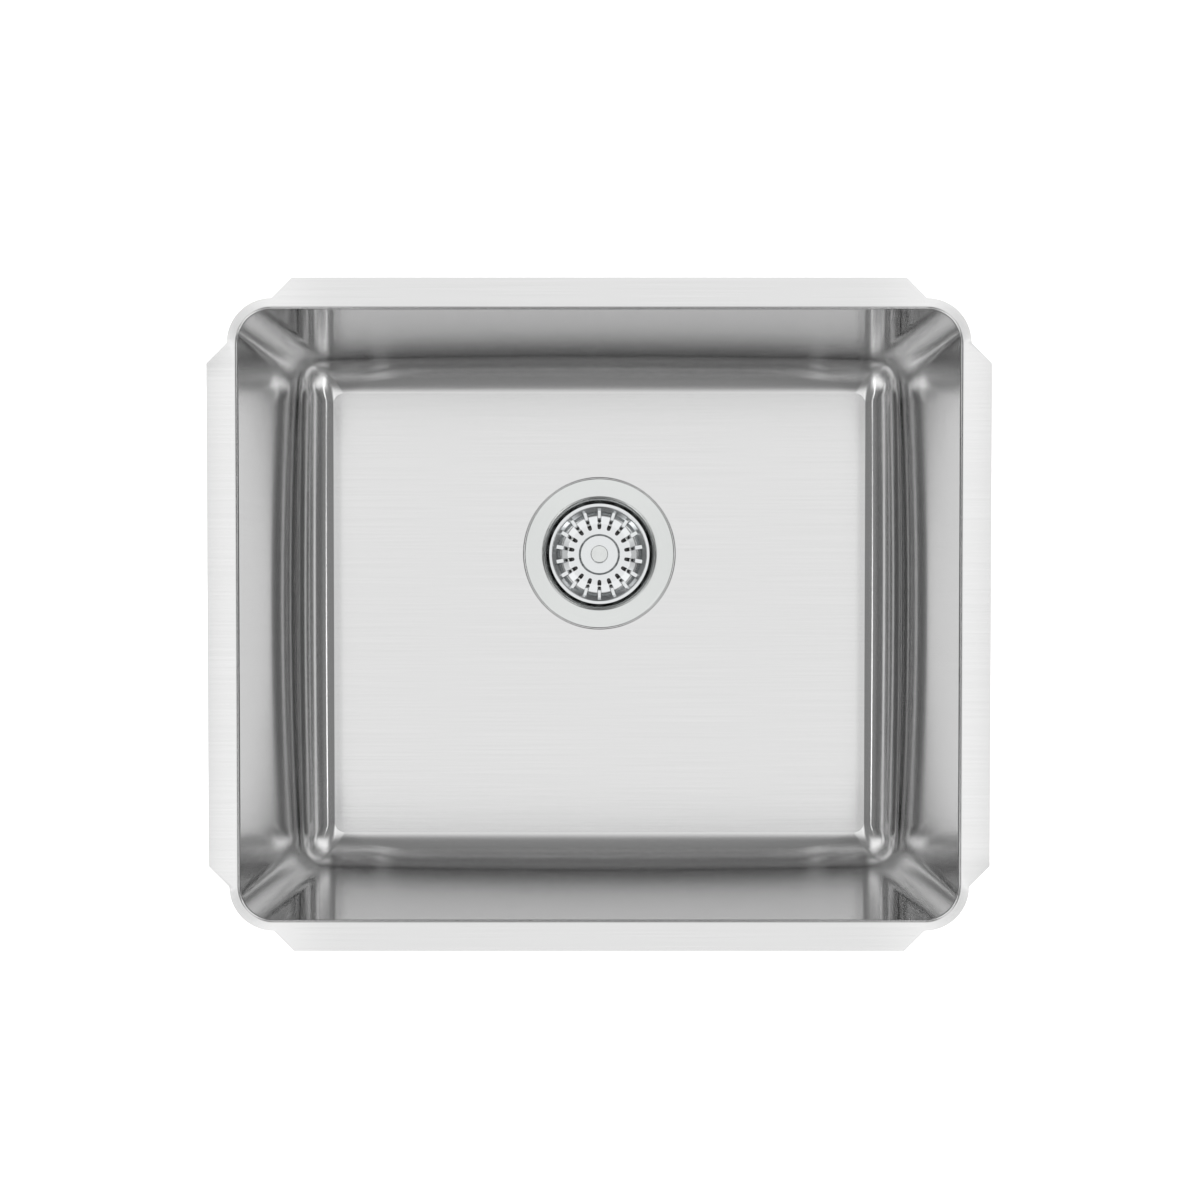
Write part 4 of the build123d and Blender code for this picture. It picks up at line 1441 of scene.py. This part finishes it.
def tailpiece_outline(tube_end):
    """Outline the tailpiece: a flange, a short taper and the long tube."""
    top = ends("tailpiece")[0]
    flange_foot = top - TUBE_FLANGE_THICKNESS
    return [
        (TUBE_BORE, top, 0.5),
        (TUBE_FLANGE, top, 0),
        (TUBE_FLANGE, flange_foot, 0),
        (TUBE_RADIUS + 0.25, flange_foot, 0),
        (TUBE_RADIUS, flange_foot - 4, 0),
        (TUBE_RADIUS, tube_end, 0.4),
        (TUBE_BORE, tube_end, 0.4),
    ]


def coupling_outline(octagon):
    """Outline the coupling nut, whose lip holds the tailpiece's flange up."""
    top, foot = ends("coupling_nut")
    lip_bore = TUBE_RADIUS + 0.35
    lip_top = ends("tailpiece")[0] - TUBE_FLANGE_THICKNESS
    return [
        (COUPLING_BORE, top, 0),
        (COUPLING_APOTHEM, top, 0.8, octagon),
        (COUPLING_APOTHEM, foot, 1.2, octagon),
        (lip_bore, foot, 0),
        (lip_bore, lip_top, 0),
        (COUPLING_BORE, lip_top, 0),
    ]


def turned_pieces(sizes):
    """List the small turned pieces as (node, finish, record slot, angles, edge, outline)."""
    hexagon = polygon_rule(6, NUT_APOTHEM)
    octagon = polygon_rule(8, COUPLING_APOTHEM)
    lug_angles, lugs = locknut_lugs()
    return (
        (
            "basket_knob", "turned_stainless_bright", "turned_stainless", None, 0.15,
            knob_outline(),
        ),
        (
            "basket_stem", "turned_stainless_satin", "turned_stainless", even_angles(48), 0.1,
            stem_outline(),
        ),
        (
            "seal_backing_washer", "turned_stainless_bright", "polished_stainless", None, 0.15,
            ring_outline("seal_backing_washer", STEM_BORE, BACKING_RADIUS),
        ),
        (
            "stopper_seal", "black_rubber_moulded", "black_rubber", None, 0.15,
            stopper_outline(),
        ),
        (
            "stem_nut", "turned_stainless_satin", "turned_stainless", even_angles(96), 0.25,
            ring_outline("stem_nut", STEM_BORE, NUT_APOTHEM, hexagon),
        ),
        (
            "flange_gasket", "closed_cell_foam", "gasket_foam", None, 0.2,
            ring_outline("flange_gasket", *FOAM_RING),
        ),
        (
            "under_sink_gasket", "black_rubber_moulded", "black_rubber", None, 0.5,
            ring_outline("under_sink_gasket", *UNDER_RING),
        ),
        (
            "friction_washer", "pressed_fibre", "fibre", None, 0.1,
            ring_outline("friction_washer", *UNDER_RING),
        ),
        (
            "locknut", "die_cast_zinc", "cast_zinc", lug_angles, 0.35,
            locknut_outline(lugs),
        ),
        (
            "tailpiece_washer", "polyethylene_moulded", "white_polyethylene", None, 0.2,
            tail_washer_outline(),
        ),
        (
            "tailpiece", "chrome_plate", "chromed_brass", None, 0.2,
            tailpiece_outline(sizes.tailpiece_end / MM),
        ),
        (
            "coupling_nut", "chrome_plate", "chromed_brass", even_angles(192), 0.4,
            coupling_outline(octagon),
        ),
    )


class SINK_OT_turned(bpy.types.Operator):
    """Turn the knob, stem, washers, seals, nuts and tailpiece"""

    bl_idname = "sink.turned"
    bl_label = "Knob, seals, nuts and tailpiece"

    def execute(self, context):
        bodies = bodies_of()
        for node, finish, slot, angles, edge, outline in turned_pieces(context.scene.drain_sizes):
            mesh = turned(node + "_shape", outline, angles, edge)
            add_piece(node + "_shape", mesh, finish, slot, bodies[node], node)
        return {"FINISHED"}


class SINK_OT_bridge(bpy.types.Operator):
    """Ease the edges of the spoked bridge in the neck and of the clip on the stem"""

    bl_idname = "sink.bridge"
    bl_label = "Bridge and clip"

    def execute(self, context):
        bodies = bodies_of()
        for node, slot, width in (
            ("socket_bridge", "polished_stainless", 0.4 * MM),
            ("retaining_clip", "turned_stainless", 0.15 * MM),
        ):
            shape = bmesh.new()
            shape.from_mesh(frame["nodes"][node].data)
            bmesh.ops.remove_doubles(shape, verts=shape.verts, dist=MM / 1000)
            bmesh.ops.dissolve_limit(
                shape, angle_limit=radians(0.5), verts=shape.verts, edges=shape.edges
            )
            mesh = bpy.data.meshes.new(node + "_shape")
            shape.to_mesh(mesh)
            shape.free()
            mesh = crisp(baked(mesh, lambda holder: ease_edges(holder, width, 3, 40)))
            add_piece(node + "_shape", mesh, "buffed_stainless", slot, bodies[node], node)
        return {"FINISHED"}


# Stage


class StageSizes(bpy.types.PropertyGroup):
    """The view of the photograph and the studio round the sink."""

    view_place: FloatVectorProperty(
        name="Camera place",
        description="Where the camera stands",
        default=(0.0005, 0.0085, 1.0037),
        subtype="TRANSLATION",
    )
    view_tilt: FloatProperty(
        name="Camera tilt", description="Turn about X from straight down", default=-0.0201, subtype="ANGLE"
    )
    lens: FloatProperty(name="Lens", description="Focal length in millimetres", default=47.19)
    view_shift: IntProperty(
        name="View shift", description="Pixels of the photograph that the view is raised by", default=34
    )
    floor_half: length_setting("Floor", "Half the floor's width", 30000)
    sun_strength: FloatProperty(name="Overhead light", description="Strength of the soft sun", default=1.6)
    sun_spread: angle_setting("Light spread", "Angle that the soft sun fills", 24)


def add_camera(sizes):
    """Set the camera where the photograph was taken from."""
    data = bpy.data.cameras.new("camera")
    data.lens = sizes.lens
    data.shift_y = sizes.view_shift / PHOTO_SIZE
    data.clip_end = 50
    camera = bpy.data.objects.new("camera", data)
    camera.location = sizes.view_place
    camera.rotation_euler = (sizes.view_tilt, 0, 0)
    bpy.context.scene.collection.objects.link(camera)
    bpy.context.scene.camera = camera


def add_overhead_light(sizes):
    """Hang one wide soft sun straight overhead, which shining surfaces do not mirror."""
    data = bpy.data.lights.new("overhead", "SUN")
    data.energy = sizes.sun_strength
    data.angle = sizes.sun_spread
    overhead = bpy.data.objects.new("overhead", data)
    overhead.visible_glossy = False
    bpy.context.scene.collection.objects.link(overhead)


def floor_paint():
    """White studio floor: matt and pale, it glows to the eye, faintly in a mirror, and takes a shadow."""
    material, tree = new_material("pale_floor")
    seen = add_node(tree, "ShaderNodeLightPath").outputs
    direct = add_node(
        tree,
        "ShaderNodeMath",
        {0: seen["Is Camera Ray"], 1: seen["Is Transmission Ray"]},
        operation="MAXIMUM",
    )
    mirrored = add_node(tree, "ShaderNodeMath", {0: seen["Is Glossy Ray"], 1: 0.1}, operation="MULTIPLY")
    shown = add_node(
        tree,
        "ShaderNodeMath",
        {0: direct.outputs["Value"], 1: 0.5, 2: mirrored.outputs["Value"]},
        operation="MULTIPLY_ADD",
    )
    paint = add_node(tree, "ShaderNodeBsdfDiffuse", {"Color": linear("EBEBEB")})
    glow = add_node(
        tree, "ShaderNodeEmission", {"Color": linear("FFFFFF"), "Strength": shown.outputs["Value"]}
    )
    both = add_node(tree, "ShaderNodeAddShader", {0: paint.outputs["BSDF"], 1: glow.outputs["Emission"]})
    # Seen from below, the floor is clear, so that it never hides the drain
    from_below = add_node(tree, "ShaderNodeNewGeometry").outputs["Backfacing"]
    clear = add_node(tree, "ShaderNodeBsdfTransparent")
    surface = add_node(
        tree, "ShaderNodeMixShader", {0: from_below, 1: both.outputs["Shader"], 2: clear.outputs["BSDF"]}
    )
    add_node(tree, "ShaderNodeOutputMaterial", {"Surface": surface.outputs["Shader"]})
    return material


def add_floor(sizes):
    """Lay the floor one millimetre below the tailpiece."""
    height = cad_bounds[0][2] - MM
    half = sizes.floor_half
    corners = [(-half, -half, height), (half, -half, height), (half, half, height), (-half, half, height)]
    mesh = bpy.data.meshes.new("floor")
    mesh.from_pydata(corners, [], [(0, 1, 2, 3)])
    mesh.materials.append(floor_paint())
    floor = bpy.data.objects.new("floor", mesh)
    bpy.context.scene.collection.objects.link(floor)


# Each step of the studio's light is (name, operation, *inputs). An input is a number or the name of
# a step above it. X, Y and Z are the direction looked in, and seen is 1 to the eye. RISE goes
# smoothly from 0 to 1 as its first input goes from its second to its third.
STUDIO_LIGHT = (
    # How far a direction runs to the left or right, and to the front or rear, for each metre it climbs
    ("climb", "MAXIMUM", "Z", 0.001),
    ("side", "DIVIDE", "X", "climb"),
    ("side", "ABSOLUTE", "side"),
    ("ahead", "DIVIDE", "Y", "climb"),
    ("reach", "ABSOLUTE", "ahead"),
    # Above 0 towards the front and rear, below 0 towards the sides
    ("sideways", "ABSOLUTE", "X"),
    ("lengthwise", "ABSOLUTE", "Y"),
    ("lengthwise", "SUBTRACT", "lengthwise", "sideways"),
    # Big panel overhead: it steps up and then far down towards its sides, and fades out lengthwise
    ("lighter", "RISE", "side", 0.17, 0.22),
    ("panel", "MULTIPLY_ADD", "lighter", 0.20, 1.19),
    ("darker", "RISE", "side", 0.25, 0.262),
    ("panel", "MULTIPLY_ADD", "darker", -0.66, "panel"),
    ("lighter", "RISE", "reach", 0.15, 0.19),
    ("panel", "MULTIPLY_ADD", "lighter", 0.11, "panel"),
    ("within", "RISE", "side", 0.32, 0.29),
    ("panel", "MULTIPLY", "panel", "within"),
    ("within", "RISE", "reach", 0.90, 0.28),
    ("panel", "MULTIPLY", "panel", "within"),
    # Narrow strip at each side, in the front half only
    ("strip", "RISE", "side", 0.78, 0.80),
    ("within", "RISE", "side", 0.86, 0.84),
    ("strip", "MULTIPLY", "strip", "within"),
    ("within", "RISE", "ahead", 0.07, 0.03),
    ("strip", "MULTIPLY", "strip", "within"),
    # Faint light everywhere, fainter far out to the sides, and a bright lamp in each upper corner
    ("around", "RISE", "side", 1.5, 0.9),
    ("around", "MULTIPLY_ADD", "around", 0.15, 0.16),
    ("corners", "MINIMUM", "side", "reach"),
    ("corners", "RISE", "corners", 0.35, 0.8),
    ("corners", "MULTIPLY", "corners", 1.4),
    # Wide low light at the front and rear
    ("sweep", "RISE", "reach", 2.2, 5.0),
    ("within", "RISE", "lengthwise", -0.1, 0.2),
    ("sweep", "MULTIPLY", "sweep", "within"),
    # Narrow low light at each side
    ("glint", "RISE", "side", 2.5, 2.8),
    ("within", "RISE", "side", 3.8, 3.4),
    ("glint", "MULTIPLY", "glint", "within"),
    ("within", "RISE", "lengthwise", -0.3, -0.6),
    ("glint", "MULTIPLY", "glint", "within"),
    # Down at the horizon: four wide bright screens with dark gaps between them, at the corners
    ("low", "RISE", "Z", 0.2, 0.1),
    ("screens", "ARCTAN2", "Y", "X"),
    ("screens", "MULTIPLY", "screens", 4.0),
    ("screens", "COSINE", "screens"),
    ("screens", "RISE", "screens", -0.95, -0.4),
    ("screens", "MULTIPLY_ADD", "screens", 0.48, 0.22),
    # All together: the brightest of the broad lights, with the small ones added to it
    ("level", "MAXIMUM", "around", "panel"),
    ("level", "MAXIMUM", "level", "corners"),
    ("level", "MULTIPLY_ADD", "strip", 2.9, "level"),
    ("level", "MULTIPLY_ADD", "sweep", 1.2, "level"),
    ("level", "MULTIPLY_ADD", "glint", 1.0, "level"),
    ("high", "SUBTRACT", 1.0, "low"),
    ("level", "MULTIPLY", "level", "high"),
    ("level", "MULTIPLY_ADD", "low", "screens", "level"),
    # The eye sees plain white
    ("unseen", "SUBTRACT", 1.0, "seen"),
    ("level", "MULTIPLY", "level", "unseen"),
    ("level", "ADD", "level", "seen"),
)


def add_sky():
    """Light the sink from all round with lamps and screens, told apart by their direction."""
    world = bpy.data.worlds.new("studio")
    world.use_nodes = True
    tree = world.node_tree
    tree.nodes.clear()
    direction = add_node(tree, "ShaderNodeTexCoord").outputs["Generated"]
    steps = dict(add_node(tree, "ShaderNodeSeparateXYZ", {0: direction}).outputs.items())
    steps["seen"] = add_node(tree, "ShaderNodeLightPath").outputs["Is Camera Ray"]
    for name, operation, *inputs in STUDIO_LIGHT:
        values = [steps.get(value, value) for value in inputs]
        if operation == "RISE":
            span = dict(zip(("Value", "From Min", "From Max"), values))
            made = add_node(tree, "ShaderNodeMapRange", span, interpolation_type="SMOOTHSTEP")
        else:
            made = add_node(tree, "ShaderNodeMath", dict(enumerate(values)), operation=operation)
        steps[name] = made.outputs[0]
    sky = add_node(tree, "ShaderNodeBackground", {"Color": linear("FFFFFF"), "Strength": steps["level"]})
    add_node(tree, "ShaderNodeOutputWorld", {"Surface": sky.outputs["Background"]})
    bpy.context.scene.world = world


class SINK_OT_stage(bpy.types.Operator):
    """Set the camera, the floor and the lights"""

    bl_idname = "sink.stage"
    bl_label = "Stage"

    def execute(self, context):
        sizes = context.scene.stage_sizes
        add_camera(sizes)
        add_floor(sizes)
        add_overhead_light(sizes)
        add_sky()
        context.scene.view_settings.view_transform = "Standard"
        return {"FINISHED"}


class SINK_PT_pieces(bpy.types.Panel):
    """Lists the sink's pieces and the stage"""

    bl_label = "Sink"
    bl_idname = "SINK_PT_pieces"
    bl_space_type = "VIEW_3D"
    bl_region_type = "UI"
    bl_category = "Sink"

    def draw(self, context):
        for operator in PIECES:
            self.layout.operator(operator.bl_idname)


GROUPS = {
    "bowl_sizes": BowlSizes,
    "pad_sizes": PadSizes,
    "drain_sizes": DrainSizes,
    "finish_colours": FinishColours,
    "stage_sizes": StageSizes,
}
PIECES = (
    SINK_OT_bowl,
    SINK_OT_pads,
    SINK_OT_strainer,
    SINK_OT_basket,
    SINK_OT_turned,
    SINK_OT_bridge,
    SINK_OT_stage,
)


def register():
    """Register the settings, the operators and the panel."""
    for name, group in GROUPS.items():
        bpy.utils.register_class(group)
        setattr(bpy.types.Scene, name, PointerProperty(type=group))
    for cls in (*PIECES, SINK_PT_pieces):
        bpy.utils.register_class(cls)


def unregister():
    """Take everything back out again."""
    for cls in (SINK_PT_pieces, *reversed(PIECES)):
        bpy.utils.unregister_class(cls)
    for name, group in reversed(GROUPS.items()):
        delattr(bpy.types.Scene, name)
        bpy.utils.unregister_class(group)


def main():
    """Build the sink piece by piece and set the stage."""
    register()
    bpy.ops.sink.bowl()
    bpy.ops.sink.pads()
    bpy.ops.sink.strainer()
    bpy.ops.sink.basket()
    bpy.ops.sink.turned()
    bpy.ops.sink.bridge()
    bpy.ops.sink.stage()


if __name__ == "__main__":
    main()
